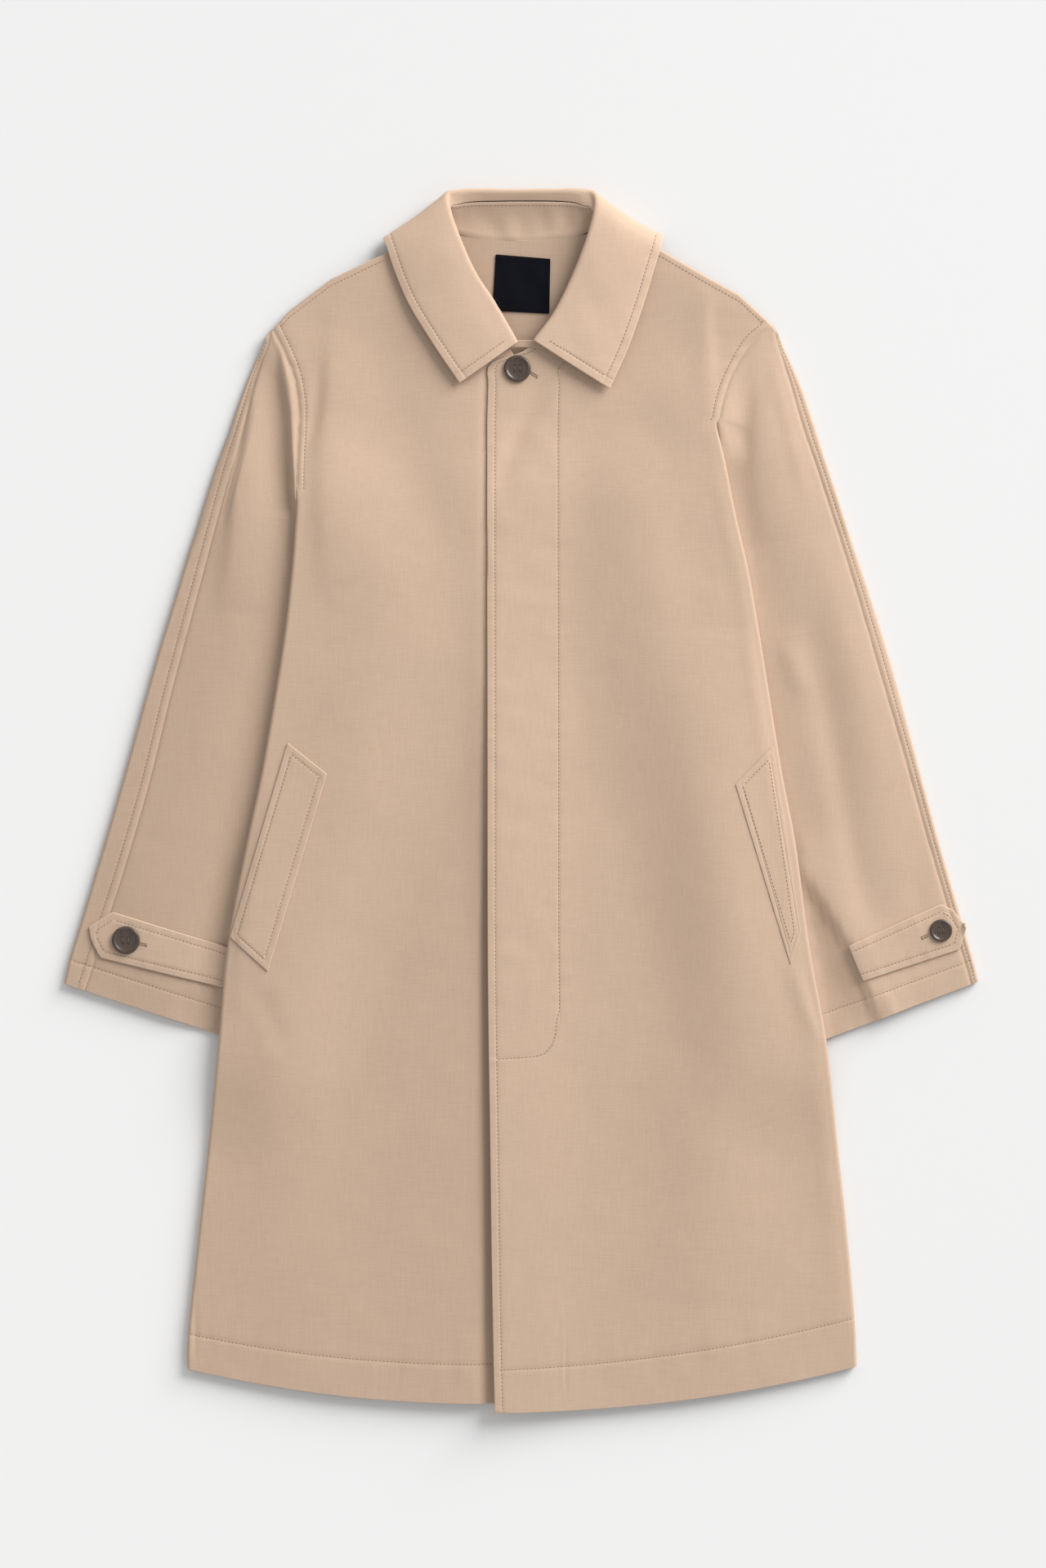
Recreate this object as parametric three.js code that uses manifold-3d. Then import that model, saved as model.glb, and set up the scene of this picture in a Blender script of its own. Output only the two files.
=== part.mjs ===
// A knee-length single-breasted coat with a turned-down collar, a concealed button fly, slanted welt
// pockets and buttoned cuff straps, lying flat on its back with its sleeves under its sides.
// Millimetres. +X is the viewer's right, +Y runs from the hem to the collar and +Z is up. The origin
// is the middle of the outline, on the surface that the coat lies on. Left and right are the wearer's,
// so the right front, sleeve and pocket are at -X.
import * as THREE from "three";
import { mergeVertices } from "three/addons/utils/BufferGeometryUtils.js";
import Module from "manifold-3d";

const wasm = await Module();
wasm.setup();

// Cloth and layers
const CLOTH = 1.4; // shell cloth with its lining, one wall
const DOUBLED = 2; // collar, welts and straps: two layers and interlining
const SEAM = 0.3; // air between two pieces that are sewn together
const ON_TOP = 0.9; // air under a piece that lies on a curved panel
const BODY_FOLD = 8.4; // height of the body's rounded side and shoulder edges
const BODY_FLAT = 6.4; // height of the fronts over the back, away from the edges
const SETTLE = 80; // how far in from an edge the fronts come down to that height
const SLEEVE_FOLD = 6.8; // height of a sleeve's rounded edges
const OVER_SLEEVE = 7.9; // how far a sleeve under the body lifts it
const OVER_COLLAR = 3.4; // how far the collar under the back neck lifts it
const MARGIN = 9; // how far past what lifts it the body stays lifted
const RAMP = 40; // length of the slope down from there
const SHOULDER_SEAM = 0.9; // air between the rounded edges of back and front at the shoulders
const BUTTONS = { neck: 24, rightCuff: 25, leftCuff: 20 }; // diameters
const SHADE = { cloth: 0xcdb096, button: 0x4d3f3a, label: 0x14151f };

// Body: a row for each section from the hem to the shoulders. r and l are its edges on the right and
// the left, rc and lc the inner ends of the fronts, and bow how far its middle hangs below its ends
const UNDERARM = 12; // the row where the side seams end and the armholes start
const BODY_ROWS = [
  { r: [-299, -508], l: [300, -506], rc: [9, -538], lc: [-23, -546], bow: 10.5, backBow: 24 },
  { r: [-298, -477], l: [298, -463], rc: [9, -503], lc: [-24, -508], bow: 9.5, backBow: 20 },
  { r: [-288, -383], l: [291, -383], rc: [9, -400], lc: [-26, -400], bow: 7, backBow: 10 },
  { r: [-278, -292], l: [282, -300], rc: [9, -300], lc: [-28, -305], bow: 4.5, backBow: 5 },
  { r: [-270, -213], l: [272, -213], rc: [9, -215], lc: [-30, -215], bow: 2, backBow: 0 },
  { r: [-262, -129], l: [257, -129], rc: [9, -130], lc: [-31, -130], bow: 0, backBow: 0 },
  { r: [-245, -38], l: [245, -40], rc: [9, -40], lc: [-31, -40], bow: 0, backBow: 0 },
  { r: [-231, 29], l: [232, 29], rc: [9, 30], lc: [-31, 30], bow: 0, backBow: 0 },
  { r: [-213, 137], l: [214, 140], rc: [9, 135], lc: [-31, 137], bow: 0, backBow: 0 },
  { r: [-205.5, 200], l: [203, 204], rc: [9, 197], lc: [-30, 200], bow: 0, backBow: 0 },
  { r: [-203.5, 222], l: [192, 252], rc: [9, 220], lc: [-30, 245], bow: 0, backBow: 0 },
  { r: [-202.2, 241], l: [181.8, 303], rc: [9, 241], lc: [-30, 295], bow: 0, backBow: 0 },
  { r: [-200, 268], l: [174, 335], rc: [9, 266], lc: [-30, 328], bow: 0, backBow: 0 },
  { r: [-200, 289], l: [176.5, 341], rc: [9, 288], lc: [-30, 340], bow: 0, backBow: 0 },
  { r: [-199.5, 311], l: [178.5, 352], rc: [9, 312], lc: [-29.5, 355], bow: 0, backBow: 0 },
  { r: [-198.5, 333], l: [181.5, 363], rc: [9, 338], lc: [-29, 372], bow: 0, backBow: 0 },
  { r: [-198.8, 354], l: [186, 376], rc: [8, 368], lc: [-27, 390], bow: 0, backBow: 0 },
  { r: [-202.3, 376], l: [192, 388], rc: [-10, 402], lc: [6, 403], bow: 0, backBow: 0 },
  { r: [-208.5, 393.5], l: [199, 400], rc: [-32, 440], lc: [34, 437], bow: 0, backBow: 0 },
  { r: [-215.5, 408], l: [208, 411], rc: [-51, 473], lc: [53, 472], bow: 0, backBow: 0 },
  { r: [-222, 421], l: [225, 424], rc: [-72, 508], lc: [70, 509], bow: 0, backBow: 0 },
];
// Shoulder seams and nape, from the right shoulder point to the left one
const SHOULDER_LINE = [
  [-222, 421],
  [-207, 438],
  [-170, 466],
  [-119, 490],
  [-72, 508],
  [-40, 504],
  [0, 501],
  [40, 504],
  [70, 509],
  [124, 492],
  [164, 469],
  [195, 452],
  [225, 424],
];
const NECK_HALF = 66; // half the width of the back neck, which isn't turned up like the shoulders

// Sleeves: a row for each section from the shoulder to the cuff, with its outline, its overarm seam
// and its inner end: the armhole down to row 8, then the underarm seam, folded under the body's side
const CAP = 8;
const RIGHT_SLEEVE = [
  { out: [-227, 415.5], over: [-224.4, 418], in: [-222, 421] },
  { out: [-231, 405], over: [-227.6, 406.3], in: [-215.5, 408] },
  { out: [-238, 391], over: [-233, 391.6], in: [-208.5, 393.5] },
  { out: [-245, 374], over: [-238.5, 374.4], in: [-202.3, 376] },
  { out: [-254, 350], over: [-244.5, 350.7], in: [-198.8, 354] },
  { out: [-261, 329], over: [-250, 329.8], in: [-198.5, 333] },
  { out: [-269, 308], over: [-256, 308.8], in: [-199.5, 311] },
  { out: [-276, 288], over: [-262, 288.3], in: [-200, 289] },
  { out: [-283, 266], over: [-268, 266.4], in: [-200, 268] },
  { out: [-291, 240], over: [-275, 240.2], in: [-203.6, 241] },
  { out: [-297, 222], over: [-280, 222], in: [-175, 222] },
  { out: [-306, 192], over: [-288, 192], in: [-146, 190] },
  { out: [-322, 140], over: [-302, 139.5], in: [-143, 135] },
  { out: [-335, 95], over: [-314, 94], in: [-152, 85] },
  { out: [-357, 15], over: [-334, 12.5], in: [-176, -5] },
  { out: [-379, -60], over: [-356, -63], in: [-200, -85] },
  { out: [-394, -110], over: [-373, -115], in: [-224, -156] },
  { out: [-404, -143], over: [-384, -149], in: [-238, -196] },
  { out: [-408.8, -164], over: [-391, -170], in: [-245, -218] },
];
const LEFT_SLEEVE = [
  { out: [229.5, 416.5], over: [227.4, 419.8], in: [225, 424] },
  { out: [234, 405.5], over: [230, 406.3], in: [208, 411] },
  { out: [240, 393.5], over: [234, 394.4], in: [199, 400] },
  { out: [246, 380], over: [238, 381.2], in: [192, 388] },
  { out: [252, 365], over: [242.5, 366.6], in: [186, 376] },
  { out: [257, 350], over: [246.5, 351.8], in: [181.5, 363] },
  { out: [262, 335], over: [251, 337.2], in: [178.5, 352] },
  { out: [267, 319], over: [256, 321.7], in: [176.5, 341] },
  { out: [273, 301], over: [262, 304.8], in: [174, 335] },
  { out: [281, 277], over: [270, 279.9], in: [183.2, 303] },
  { out: [288, 255], over: [277.5, 257.2], in: [158, 282] },
  { out: [297, 227], over: [287, 228.2], in: [141, 245] },
  { out: [311, 185], over: [300, 186], in: [136, 200] },
  { out: [331, 120], over: [319, 121], in: [146, 134] },
  { out: [352, 42], over: [342, 42.4], in: [167, 48] },
  { out: [372, -32], over: [363, -33], in: [192, -50] },
  { out: [393, -105], over: [385, -107], in: [224, -145] },
  { out: [404, -143], over: [397, -145.5], in: [246, -200] },
  { out: [408.8, -162], over: [402.5, -164.4], in: [250, -222] },
];
const JOINED = 30; // distance from the armhole over which a sleeve takes the body's height

// Large folds: a soft ridge, or a trough with a negative height, from one point to another
const BODY_FOLDS = [
  { from: [-152, 440], to: [-160, 300], width: 26, height: -1 },
  { from: [205, -80], to: [255, -300], width: 26, height: 1.6 },
];
const RIGHT_SLEEVE_FOLDS = [
  { from: [-236, 372], to: [-254, 262], width: 13, height: 4 },
  { from: [-262, 235], to: [-318, 20], width: 24, height: 2.2 },
];
const LEFT_SLEEVE_FOLDS = [
  { from: [228, 366], to: [246, 262], width: 13, height: 2.4 },
  { from: [270, 235], to: [320, 20], width: 26, height: 1.6 },
];

// Collar: a row for each station round the neck, from the right front end to the left one. The stand
// rises from neck to seam; the fall goes on from the seam, turns at the roll and ends at its edge.
// out is the direction away from the neck and lean how far the turn is tipped from upright
const TURN = 3.3; // radius of the turn at the roll, on the outside
const STAND_SEAM = 0.8; // air between stand and fall
const COLLAR_ROWS = [
  { neck: [-25, 423, 8.8], seam: [-14, 420, 11], roll: [-3, 409.5, 14.4], mid: [-29, 391, 17], edge: [-55, 373, 14.6], out: 215, lean: 90 },
  { neck: [-39, 444, 9.6], seam: [-31, 447, 12.6], roll: [-23, 444, 16.4], mid: [-53, 426, 19], edge: [-80, 410, 15.6], out: 211, lean: 90 },
  { neck: [-52, 467, 10.8], seam: [-46, 470, 14.6], roll: [-40, 470, 18.8], mid: [-70, 456, 21], edge: [-100, 443, 16], out: 206, lean: 90 },
  { neck: [-64, 491, 12.4], seam: [-58, 497, 16.6], roll: [-53, 498, 21], mid: [-84, 485, 22.5], edge: [-112.5, 472, 16.6], out: 200, lean: 88 },
  { neck: [-72, 512, 12.6], seam: [-66, 519, 17.4], roll: [-63, 526, 21.4], mid: [-92, 509, 20.5], edge: [-119, 492, 16.4], out: 182, lean: 56 },
  { neck: [-72, 515.5, 9.6], seam: [-64, 529, 14.6], roll: [-66, 540, 16], mid: [-95, 521, 12.4], edge: [-123, 503, 8.6], out: 152, lean: 0 },
  { neck: [-62, 511, 6.6], seam: [-57, 531, 10.4], roll: [-59, 544, 7.4], mid: [-88, 518, 1.6], edge: [-116, 499, 1], out: 122, lean: -58 },
  { neck: [-42, 506, 5.2], seam: [-42, 534, 7.6], roll: [-43, 545.6, 3.9], mid: [-58, 524, 0.1], edge: [-86, 484, 0.1], out: 96, lean: -88 },
  { neck: [0, 502.6, 4.8], seam: [0, 535.5, 6.8], roll: [0, 545.2, 3.4], mid: [0, 524, 0.1], edge: [0, 477, 0.1], out: 90, lean: -90 },
  { neck: [42, 506, 5.2], seam: [41, 534, 7.6], roll: [42, 546, 3.9], mid: [58, 524, 0.1], edge: [88, 485, 0.1], out: 84, lean: -88 },
  { neck: [61, 511, 6.6], seam: [56, 530, 10.4], roll: [58, 545, 7.4], mid: [88, 518, 1.6], edge: [118, 501, 1], out: 58, lean: -58 },
  { neck: [71, 515.5, 9.6], seam: [62, 528, 14.6], roll: [65.5, 540, 16], mid: [96, 521, 12.4], edge: [126, 505, 8.6], out: 28, lean: 0 },
  { neck: [71, 512, 12.6], seam: [66, 518, 17.4], roll: [64.5, 525, 21.4], mid: [95, 509, 20.5], edge: [124, 494, 16.4], out: -2, lean: 56 },
  { neck: [67, 491, 12.4], seam: [61, 496, 16.6], roll: [56.5, 497, 21], mid: [89, 486, 22], edge: [118, 474, 16.6], out: -20, lean: 88 },
  { neck: [57, 466, 10.8], seam: [51, 469, 14.4], roll: [45, 468, 18.4], mid: [78, 455, 20], edge: [108, 441, 15.6], out: -24, lean: 90 },
  { neck: [44, 436, 9.6], seam: [36, 438, 12.4], roll: [29, 436, 16], mid: [62, 419, 18], edge: [94, 402, 14.8], out: -27, lean: 90 },
  { neck: [20, 405, 8.2], seam: [19.5, 411, 9.6], roll: [10.5, 411, 15], mid: [44, 389.5, 17], edge: [78.5, 368, 14.4], out: -32, lean: 90 },
];
const STAND_TAB = { neck: [-13, 405, 8], seam: [-11, 410, 8.8] }; // the stand's lapped front end

// Pocket welts: corners on the front, with their long edges from top to bottom
const RIGHT_WELT = { outer: [[-208, 50], [-259, -122]], inner: [[-174, 23], [-226, -152]] };
const LEFT_WELT = { outer: [[224.5, 48], [249, -118]], inner: [[191, 14], [240, -146]] };

// Cuff straps: the ends of the middle line, and half the width at each end
const RIGHT_STRAP = { point: [-387, -119], root: [-269, -149], halfPoint: 19, halfRoot: 17 };
const LEFT_STRAP = { point: [390, -114], root: [300, -148], halfPoint: 17, halfRoot: 17 };
const STRAP_TIP = 14; // length of the pointed end
const NECK_BUTTON = [-3.6, 385.2];
const RIGHT_CUFF_BUTTON = [-353, -125.2];
const LEFT_CUFF_BUTTON = [374.6, -116.6];
const LABEL = { x: 1.6, y: 460.5, width: 49, height: 49, thick: 1 };

const clamp = (v, lo, hi) => Math.min(hi, Math.max(lo, v));
const lerp = (a, b, t) => a + (b - a) * t;
const mix = (a, b, t) => a.map((v, k) => lerp(v, b[k], t));
const apart = (a, b) => Math.hypot(b[0] - a[0], b[1] - a[1]);
const smooth = (t) => clamp(t, 0, 1) ** 2 * (3 - 2 * clamp(t, 0, 1));
// A quarter circle: 0 at an edge, 1 from a radius inside it
const round = (distance, radius) => Math.sqrt(1 - (1 - clamp(distance / radius, 0, 1)) ** 2);

// Catmull-Rom value through equally spaced numbers
function through(values, at) {
  const i = Math.min(values.length - 2, Math.floor(at));
  const t = at - i;
  const [b, c] = [values[i], values[i + 1]];
  const a = i > 0 ? values[i - 1] : 2 * b - c;
  const d = i < values.length - 2 ? values[i + 2] : 2 * c - b;
  return 0.5 * (2 * b + (c - a) * t + (2 * a - 5 * b + 4 * c - d) * t * t + (3 * b - a - 3 * c + d) * t ** 3);
}

// A table's row at a fractional row number
function rowAt(table, at) {
  const row = {};
  for (const [key, first] of Object.entries(table[0]))
    row[key] = Array.isArray(first)
      ? first.map((_, k) => through(table.map((r) => r[key][k]), at))
      : through(table.map((r) => r[key]), at);
  return row;
}

function shoulderY(x) {
  const next = SHOULDER_LINE.findIndex((p) => p[0] > x);
  const i = clamp(next < 0 ? SHOULDER_LINE.length : next, 1, SHOULDER_LINE.length - 1);
  const [a, b] = [SHOULDER_LINE[i - 1], SHOULDER_LINE[i]];
  return lerp(a[1], b[1], clamp((x - a[0]) / (b[0] - a[0]), 0, 1));
}

// How far a point is outside an outline in plan: 0 inside it
function outside(outline, x, y) {
  let inside = false;
  let nearest = Infinity;
  outline.forEach((b, i) => {
    const a = outline[(i + outline.length - 1) % outline.length];
    if (a[1] > y !== b[1] > y && x < a[0] + ((b[0] - a[0]) * (y - a[1])) / (b[1] - a[1])) inside = !inside;
    const along = ((x - a[0]) * (b[0] - a[0]) + (y - a[1]) * (b[1] - a[1])) / apart(a, b) ** 2;
    nearest = Math.min(nearest, apart([x, y], mix(a, b, clamp(along, 0, 1))));
  });
  return inside ? 0 : nearest;
}

const underBody = (sleeve) => {
  const rows = sleeve.slice(CAP + 1);
  return [...rows.map((r) => r.in), ...rows.reverse().map((r) => r.out)];
};
const foldedCollar = COLLAR_ROWS.slice(5, 12);
const LIFTS = [
  { outline: underBody(RIGHT_SLEEVE), height: OVER_SLEEVE },
  { outline: underBody(LEFT_SLEEVE), height: OVER_SLEEVE },
  { outline: [...foldedCollar.map((r) => r.edge), [66, 545], [-66, 545]], height: OVER_COLLAR },
];
// Height of the underside of the body: 0 on the surface, more over the sleeves and the collar
const liftAt = (x, y) =>
  Math.max(...LIFTS.map((l) => l.height * smooth(1 + (MARGIN - outside(l.outline, x, y)) / RAMP)));

function foldsAt(folds, x, y) {
  return folds.reduce((sum, { from, to, width, height }) => {
    const long = apart(from, to);
    const along = ((x - from[0]) * (to[0] - from[0]) + (y - from[1]) * (to[1] - from[1])) / long;
    const across = ((x - from[0]) * (to[1] - from[1]) - (y - from[1]) * (to[0] - from[0])) / long;
    const past = Math.max(0, -along, along - long);
    return sum + height * Math.exp(-((across / width) ** 2) - (past / (2 * width)) ** 2);
  }, 0);
}

// How much the body's edge is turned at a row: 1 on the side seams, 0 on the armholes
const turnAt = (row) => clamp((UNDERARM + 2 - row) / 2, 0, 1);
// 0 where the body's edges turn to half their height, 1 where they have their full height
function bodyRound(x, y, fromSide, row) {
  const radius = BODY_FOLD / 2;
  const side = lerp(1, round(fromSide, radius), turnAt(row));
  const neck = 1 - smooth((Math.abs(x) - NECK_HALF) / 8);
  const shoulder = lerp(round(0.9 * Math.max(0, shoulderY(x) - y), radius), 1, neck);
  return Math.min(side, shoulder);
}
const seamAir = (row) => (row > UNDERARM ? SHOULDER_SEAM : SEAM);
const backUnder = (x, y, fromSide, row) =>
  liftAt(x, y) + (BODY_FOLD / 2 - seamAir(row) / 2) * (1 - bodyRound(x, y, fromSide, row));
function bodyTop(x, y, fromSide, row) {
  const fromEdge = Math.min(fromSide, Math.abs(x) > NECK_HALF ? shoulderY(x) - y : fromSide);
  const flat = lerp(BODY_FOLD, BODY_FLAT, smooth(fromEdge / SETTLE));
  const half = BODY_FOLD / 2 + seamAir(row) / 2;
  const height = lerp(half, flat, bodyRound(x, y, fromSide, row));
  return liftAt(x, y) + height + foldsAt(BODY_FOLDS, x, y) * smooth(fromEdge / 30);
}
// The left front laps over the right one, which lies lower there
const rightTop = (x, y, fromSide, row) => bodyTop(x, y, fromSide, row) - 1.6 * smooth((x + 110) / 70);
const leftTop = (x, y, fromSide, row) => bodyTop(x, y, fromSide, row) + 0.8 * (1 - smooth((x - 12) / 50));

// Places in a row: distances from its start, then even steps to its end
function places(length, distances, steps) {
  const near = distances.map((d, k) => Math.min(d, (length * 0.5 * k) / distances.length));
  const from = near[near.length - 1];
  return [...near, ...Array.from({ length: steps }, (_, k) => lerp(from, length, (k + 1) / steps))];
}
const EDGE = [0, 0.5, 1.7, 4.4, 14, 38]; // distances from a rounded edge

const bodyRowNumbers = [...BODY_ROWS.keys()].slice(0, -1).concat([19.6, 19.86, 20]);
const shoulderPull = (at) => clamp((at - UNDERARM) / (BODY_ROWS.length - 1 - UNDERARM), 0, 1) ** 1.6;

// A point of the body's row, bowed at the hem and drawn to the shoulder line at the top
function bodyPoint(start, end, bow, at, top, t) {
  const [x, y] = mix(start, end, t);
  return [x, y - 4 * bow * t * (1 - t) + shoulderPull(at) * (shoulderY(lerp(top[0][0], top[1][0], t)) - lerp(top[0][1], top[1][1], t))];
}

function frontGrid(side, heightAt) {
  const last = BODY_ROWS[BODY_ROWS.length - 1];
  return bodyRowNumbers.map((at) => {
    const row = rowAt(BODY_ROWS, at);
    const [start, end] = [row[side], row[`${side}c`]];
    const length = apart(start, end);
    return places(length, EDGE, 6).map((d) => {
      const [x, y] = bodyPoint(start, end, row.bow, at, [last[side], last[`${side}c`]], d / length);
      return new THREE.Vector3(x, y, heightAt(x, y, d, at));
    });
  });
}

function backGrid() {
  const last = BODY_ROWS[BODY_ROWS.length - 1];
  return bodyRowNumbers.map((at) => {
    const { r, l, backBow } = rowAt(BODY_ROWS, at);
    const length = apart(r, l);
    const half = places(length / 2, [...EDGE, 62, 86, 110], 2);
    const whole = [...half, ...half.slice(0, -1).reverse().map((d) => length - d)];
    return whole.map((d) => {
      const [x, y] = bodyPoint(r, l, backBow, at, [last.r, last.l], d / length);
      return new THREE.Vector3(x, y, backUnder(x, y, Math.min(d, length - d), at));
    });
  });
}

// Top and under faces of a sleeve, at distances from its outline and its inner end
function sleeveHeights(folds, x, y, fromOut, fromIn, row, joint) {
  const radius = SLEEVE_FOLD / 2;
  const turned = clamp((row - CAP + 2) / 2, 0, 1);
  const rounded = Math.min(round(fromOut, radius), lerp(1, round(fromIn, radius), turned));
  const lump = foldsAt(folds, x, y) * smooth(Math.min(fromOut, fromIn) / 14);
  const own = {
    top: lerp(radius + (turned * SEAM) / 2, SLEEVE_FOLD, rounded) + lump,
    under: (radius - (turned * SEAM) / 2) * (1 - rounded),
  };
  if (row > CAP) return own;
  const near = smooth(fromIn / JOINED);
  const [top, under] = joint(fromIn);
  return { top: lerp(top, own.top, near), under: lerp(under, own.under, near) };
}

function sleeveGrids(sleeve, folds, frontTop) {
  const grids = { front: [], back: [] };
  sleeve.forEach((row, i) => {
    const inner = mix(row.in, row.out, (i <= CAP ? SEAM : 0) / apart(row.in, row.out));
    const body = UNDERARM + CAP - i;
    const atTip = i === 0;
    const joint = (d) => [
      Math.max(frontTop(...row.in, d, body), atTip ? 5.6 : 0),
      Math.min(backUnder(...row.in, d, body), atTip ? 1.6 : Infinity),
    ];
    const length = apart(inner, row.out);
    const seamAt = apart(row.out, row.over);
    const point = (fromOut, face) => {
      const [x, y] = mix(row.out, inner, fromOut / length);
      const heights = sleeveHeights(folds, x, y, fromOut, length - fromOut, i, joint);
      return new THREE.Vector3(x, y, heights[face]);
    };
    const fromInner = places(length - seamAt - SEAM / 2, [0, 0.4, 1.4, 3.5, 12, 30], 5);
    grids.front.push(fromInner.map((d) => point(length - d, "top")).reverse());
    const overEdge = [1, 0.6, 0.36, 0.2, 0.08, 0.02].map((f) => Math.min(f * (seamAt - SEAM / 2), 40 * f));
    const below = places(length / 2, [0, 0.3, 1.2, 3.5, 14], 2);
    const belowInner = places(length / 2, [0, 0.4, 1.4, 3.5, 14], 1).slice(0, -1).reverse();
    grids.back.push([
      ...overEdge.map((d) => point(d, "top")),
      ...below.map((d) => point(d, "under")),
      ...belowInner.map((d) => point(length - d, "under")),
    ]);
  });
  return grids;
}

// Points across the collar at a station: the stand up to its seam, and the fall from there
function collarSection(row) {
  const away = (row.out * Math.PI) / 180;
  const tip = (row.lean * Math.PI) / 180;
  const outward = new THREE.Vector3(Math.cos(away), Math.sin(away), 0);
  const up = new THREE.Vector3(0, 0, 1);
  const over = outward.clone().multiplyScalar(Math.cos(tip)).addScaledVector(up, Math.sin(tip));
  const crest = outward.clone().multiplyScalar(-Math.sin(tip)).addScaledVector(up, Math.cos(tip));
  const [neck, seam, roll, mid, edge] = ["neck", "seam", "roll", "mid", "edge"].map((k) => new THREE.Vector3(...row[k]));
  const centre = roll.clone().addScaledVector(crest, -TURN);
  const turn = [-72, -36, 0, 36, 72].map((degrees) => {
    const a = (degrees * Math.PI) / 180;
    return centre.clone().addScaledVector(crest, TURN * Math.cos(a)).addScaledVector(over, TURN * Math.sin(a));
  });
  const bend = (t) => {
    const start = turn[4].clone().multiplyScalar((1 - t) * (1 - 2 * t));
    return start.addScaledVector(mid, 4 * t * (1 - t)).addScaledVector(edge, t * (2 * t - 1));
  };
  return {
    stand: [0, 0.5, 1 - STAND_SEAM / 2 / neck.distanceTo(seam)].map((t) => neck.clone().lerp(seam, t)),
    fall: [seam.clone().lerp(turn[0], STAND_SEAM / 2 / seam.distanceTo(turn[0])), ...turn, bend(0.2), bend(0.5), bend(0.78), bend(1)],
  };
}

function gridNormals(grid) {
  const [rows, columns] = [grid.length, grid[0].length];
  const between = (a, b) => new THREE.Vector3().subVectors(b, a).normalize();
  return grid.map((row, i) =>
    row.map((_, j) => {
      const along = between(row[Math.max(j - 1, 0)], row[Math.min(j + 1, columns - 1)]);
      const across = between(grid[Math.max(i - 1, 0)][j], grid[Math.min(i + 1, rows - 1)][j]);
      return along.cross(across).normalize();
    }),
  );
}

// The inner face of a wall
const inward = (grid, normals, thick) =>
  grid.map((row, i) => row.map((p, j) => p.clone().addScaledVector(normals[i][j], -thick)));

// The same with level rims where level is true, for a seam at a rounded fold
function offset(grid, thick, level) {
  const normals = gridNormals(grid);
  grid.forEach((row, i) => row.forEach((p, j) => level(i, j, p) && normals[i][j].setZ(0).normalize()));
  return inward(grid, normals, thick);
}

// A closed wall between the grids of its outer and inner faces
function wall(outer, inner) {
  const [rows, columns] = [outer.length, outer[0].length];
  const positions = [];
  const put = (...points) => points.forEach((p) => positions.push(p.x, p.y, p.z));
  const quad = (a, b, c, d) => put(a, b, c, a, c, d);
  for (let i = 0; i < rows - 1; i += 1)
    for (let j = 0; j < columns - 1; j += 1) {
      quad(outer[i][j], outer[i][j + 1], outer[i + 1][j + 1], outer[i + 1][j]);
      quad(inner[i][j], inner[i + 1][j], inner[i + 1][j + 1], inner[i][j + 1]);
    }
  for (let j = 0; j < columns - 1; j += 1) {
    quad(outer[0][j], inner[0][j], inner[0][j + 1], outer[0][j + 1]);
    quad(outer[rows - 1][j], outer[rows - 1][j + 1], inner[rows - 1][j + 1], inner[rows - 1][j]);
  }
  for (let i = 0; i < rows - 1; i += 1) {
    quad(outer[i][0], outer[i + 1][0], inner[i + 1][0], inner[i][0]);
    quad(outer[i][columns - 1], inner[i][columns - 1], inner[i + 1][columns - 1], outer[i + 1][columns - 1]);
  }
  const geometry = new THREE.BufferGeometry();
  geometry.setAttribute("position", new THREE.Float32BufferAttribute(positions, 3));
  return mergeVertices(geometry, 1e-4);
}

const turnOver = (grid) => grid.map((row) => [...row].reverse());

function back() {
  const grid = turnOver(backGrid());
  const [last, end] = [grid.length - 1, grid[0].length - 1];
  const level = (i, j, p) => ((j === 0 || j === end) && i <= UNDERARM) || (i === last && Math.abs(p.x) > NECK_HALF + 4);
  return wall(grid, offset(grid, CLOTH, level));
}

function front(side, heightAt) {
  const grid = frontGrid(side, heightAt);
  const last = grid.length - 1;
  const facing = side === "r" ? grid : turnOver(grid);
  const edge = side === "r" ? 0 : grid[0].length - 1;
  const level = (i, j) => (j === edge && i <= UNDERARM) || i === last;
  return wall(facing, offset(facing, CLOTH, level));
}

function sleevePieces(sleeve, folds, frontTop, mirrored) {
  const grids = sleeveGrids(sleeve, folds, frontTop);
  const piece = (grid, turned) => {
    const facing = turned ? turnOver(grid) : grid;
    const inner = turned ? 0 : grid[0].length - 1;
    return wall(facing, offset(facing, CLOTH, (i, j) => j === inner && i >= CAP));
  };
  return { front: piece(grids.front, !mirrored), back: piece(grids.back, mirrored) };
}

const STATIONS = 27;
function collarGrids() {
  const rows = Array.from({ length: STATIONS }, (_, i) => (i * (COLLAR_ROWS.length - 1)) / (STATIONS - 1));
  const sections = rows.map((at) => collarSection(rowAt(COLLAR_ROWS, at)));
  const [neck, seam] = [new THREE.Vector3(...STAND_TAB.neck), new THREE.Vector3(...STAND_TAB.seam)];
  const tab = [0, 0.5, 1].map((t) => neck.clone().lerp(seam, t));
  return {
    fall: turnOver(sections.map((s) => s.fall)),
    stand: turnOver([...sections.map((s) => s.stand), tab]),
  };
}

// The two walls of the collar, with parallel rims where they are sewn together
function collarPieces() {
  const { fall, stand } = collarGrids();
  const [fallNormals, standNormals] = [gridNormals(fall), gridNormals(stand)];
  fallNormals.forEach((row, i) => {
    const shared = row[row.length - 1].clone().add(standNormals[i][0]).normalize();
    row[row.length - 1].copy(shared);
    standNormals[i][0].copy(shared);
  });
  return {
    fall: wall(fall, inward(fall, fallNormals, DOUBLED)),
    stand: wall(stand, inward(stand, standNormals, CLOTH)),
  };
}

// A flat piece that lies on a surface, from its points in plan
function laidOn(plan, heightAt, thick, air) {
  const face = (extra) => plan.map((row) => row.map(([x, y]) => new THREE.Vector3(x, y, heightAt(x, y) + extra)));
  return wall(face(air + thick), face(air));
}

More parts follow.
